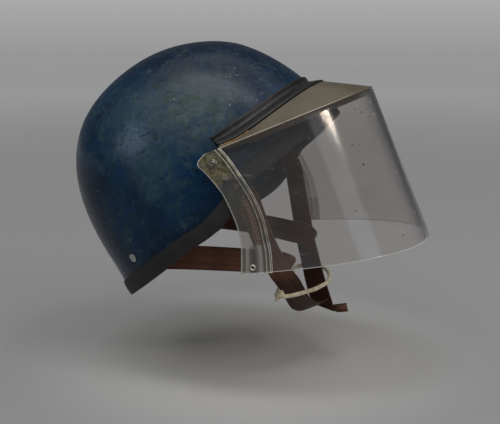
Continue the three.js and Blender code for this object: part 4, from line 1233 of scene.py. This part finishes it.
def strap_leather():
    """Red-brown bridle leather with fine lengthwise lines, pores, worn edges and painted shade low on the
    chin straps.
    """
    f = Finish("strap_leather")
    lines = f.cloud(3.0, 5, 0.6, f.stretched((26, 0.9, 1), source=f.flat))
    patch = f.cloud(26, 5, 0.6)
    worn = f.window(f.node("NewGeometry", {}, {}, "Pointiness"), 0.52, 0.6)
    # Painted shade: the leather darker below a height, over the low parts of the chin straps
    darkened = f.window(f.axis(f.place, "Z") + patch * 0.02, -0.192, -0.208)
    colour = f.layers(
        (0.078, 0.024, 0.0105), (f.window(patch, 0.35, 0.7), (0.14, 0.05, 0.023)),
        (f.window(lines, 0.48, 0.68) * 0.65, (0.022, 0.009, 0.007)),
        (f.window(lines * patch, 0.36, 0.46) * 0.5, (0.16, 0.08, 0.05)),
        (worn * 0.4, (0.15, 0.08, 0.055)), (darkened * 0.7, (0.015, 0.0068, 0.0045)),
        (f.spot((137, 1, -255.5), 9, 7, 6, 90), (0.17, 0.07, 0.042)),
    )
    rough = f.window(lines, 0.3, 0.7) * 0.2 + 0.36
    bump = f.relief(f.window(f.cells(1100), 0.0, 0.35), 0.06, 0.6)
    bump = f.relief(lines, 0.16, 0.7, bump)
    return f.done(Base_Color=colour, Roughness=rough, Normal=bump, Specular_IOR_Level=0.32)


def cotton_cord():
    """Cream cotton, soiled between its strands."""
    f = Finish("cotton_cord")
    colour = f.layers(
        (0.7, 0.62, 0.45), (f.window(f.cloud(120, 5, 0.65), 0.4, 0.7), (0.42, 0.35, 0.23)),
        (f.window(f.cells(420), 0.2, 0.1) * 0.7, (0.15, 0.1, 0.06)),
    )
    bump = f.relief(f.cloud(1500, 3, 0.6), 0.12, 0.8)
    return f.done(Base_Color=colour, Roughness=0.9, Sheen_Weight=0.3, Normal=bump)


def old_glue():
    """Amber glue, clouded and dirty on its skin."""
    f = Finish("old_glue")
    cloud = f.cloud(260, 4, 0.6)
    colour = f.layers((0.42, 0.21, 0.035), (f.window(cloud, 0.35, 0.65), (0.16, 0.085, 0.025)))
    return f.done(Base_Color=colour, Roughness=cloud * 0.3 + 0.2, Normal=f.relief(cloud, 0.15, 0.6))


finishes = {
    "shell_paint": shell_paint(),
    "edging_rubber": edging_rubber(),
    "moulding_rubber": moulding_rubber(),
    "peak_sheet": peak_sheet(),
    "visor_sheet": visor_sheet(),
    "strip_plastic": strip_plastic(),
    "dull_steel": metal("dull_steel", (0.46, 0.43, 0.37), (0.13, 0.1, 0.07), 0.34),
    "eyelet_metal": metal("eyelet_metal", (0.62, 0.6, 0.55), (0.36, 0.33, 0.28), 0.3, 260),
    "rivet_metal": metal("rivet_metal", (0.56, 0.57, 0.56), (0.34, 0.34, 0.32), 0.42, 240),
    "strap_leather": strap_leather(),
    "cotton_cord": cotton_cord(),
}


def dress(piece, slot_name, *replaced):
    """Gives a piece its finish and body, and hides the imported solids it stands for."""
    piece.data.materials.clear()
    piece.data.materials.append(finishes[slot_name])
    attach(piece, ROOT)
    if replaced:
        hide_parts(*replaced)


dress(tie_cord, "cotton_cord", "tie_cord")
dress(knot, "cotton_cord", "tie_knot")
dress(fray, "cotton_cord")
dress(shell, "shell_paint", "shell")
dress(edging, "edging_rubber", "rim_trim")
dress(moulding, "moulding_rubber", "brow_moulding")
dress(panel, "peak_sheet", "peak_panel")
dress(visor, "visor_sheet", "visor")
dress(glue_bead, "strip_plastic")
glue_bead.data.materials[0] = old_glue()
for pieces, slot_name, node in (
    ((strip_right, strip_left), "strip_plastic", "side_strip"),
    (screws, "dull_steel", "strip_screw"), (pins, "dull_steel", "strip_pin"),
    (eyelets, "eyelet_metal", "strip_eyelet"), (rivets, "rivet_metal", "shell_rivet"),
    ((nape_right, nape_left), "strap_leather", "nape_strap"),
    ((chin_right, chin_left), "strap_leather", "chin_strap"),
):
    for piece, side in zip(pieces, ("right", "left")):
        dress(piece, slot_name, f"{node}_{side}")
for node in ("screw_spacer_right", "screw_spacer_left", "pin_spacer_right", "pin_spacer_left"):
    nodes[node].data.materials.clear()
    nodes[node].data.materials.append(finishes["edging_rubber"])

[tuple(p * MM) for p in cord_path]

# ---- Floor and light ----

FLOOR_PLACE = (0.04, 0, -0.31)
select_only()
bpy.ops.mesh.primitive_circle_add(vertices=96, radius=12.0, fill_type="NGON", location=FLOOR_PLACE)
floor = named("floor")
bpy.ops.object.transform_apply(location=True, rotation=True, scale=True)
f = Finish("floor_grey")
away = f.distance(FLOOR_PLACE)
# Painted light: the floor lighter under the helmet to lift its shadow, darker in a ring round that, and
# lighter again far out against the lamps' falloff
tone = f.layers(
    (0.47, 0.47, 0.46), (f.window(away, 0.08, 0.26), (0.29, 0.29, 0.29)),
    (f.window(away, 0.2, 5.0), (0.5, 0.5, 0.503)),
)
floor.data.materials.append(f.done(Base_Color=tone, Roughness=0.9, Specular_IOR_Level=0.1))

# The room is dim to the sides, and its back wall is a plain grey that is lighter towards the top
world = bpy.data.worlds.new("studio")
scene.world = world
world.use_nodes = True
links, room = world.node_tree.links, world.node_tree.nodes
wall, sight = room.new("ShaderNodeMapRange"), room.new("ShaderNodeMix")
way, parts = room.new("ShaderNodeTexCoord"), room.new("ShaderNodeSeparateXYZ")
seen = room.new("ShaderNodeLightPath")
for key, value in (("From Min", -0.01), ("From Max", 0.08), ("To Min", 0.305), ("To Max", 0.44)):
    wall.inputs[key].default_value = value
links.new(way.outputs["Generated"], parts.inputs[0])
links.new(parts.outputs["Z"], wall.inputs["Value"])
sight.data_type = "RGBA"
sight.inputs[6].default_value = (0.09, 0.092, 0.096, 1)
links.new(seen.outputs["Is Camera Ray"], sight.inputs[0])
links.new(wall.outputs["Result"], sight.inputs[7])
links.new(sight.outputs[2], room["Background"].inputs["Color"])


def lamp(name, place, aim, width, height, power_watts, tint):
    """A soft rectangular lamp."""
    data = bpy.data.lights.new(name, "AREA")
    data.energy = power_watts
    data.color = tint
    data.shape = "RECTANGLE"
    data.size = width
    data.size_y = height
    placed(name, data, place, aim).visible_camera = False


lamp("overhead", (0.2, -0.34, 1.8), (0.2, -0.02, -0.1), 1.5, 0.5, 11.5, (1.0, 0.98, 1.0))
lamp("front_panel", (2.1, -0.95, 0.4), (0.15, -0.08, -0.12), 0.75, 0.95, 2.1, (0.9, 0.95, 1.0))
lamp("front_bulb", (2.1, -0.66, 0.82), (0.13, -0.08, -0.06), 0.36, 0.2, 4.6, (1.0, 0.8, 0.63))
lamp("front_tip", (2.1, -0.6, 0.79), (0.13, -0.08, -0.06), 0.15, 0.26, 1.3, (1.0, 0.9, 0.82))
ceiling = bpy.data.lights.new("ceiling", "SUN")
ceiling.energy = 1.7
ceiling.angle = math.radians(100)
placed("ceiling", ceiling, (0, 0, 0), (-0.1, 0.25, -0.96))
scene.view_settings.view_transform = "Standard"
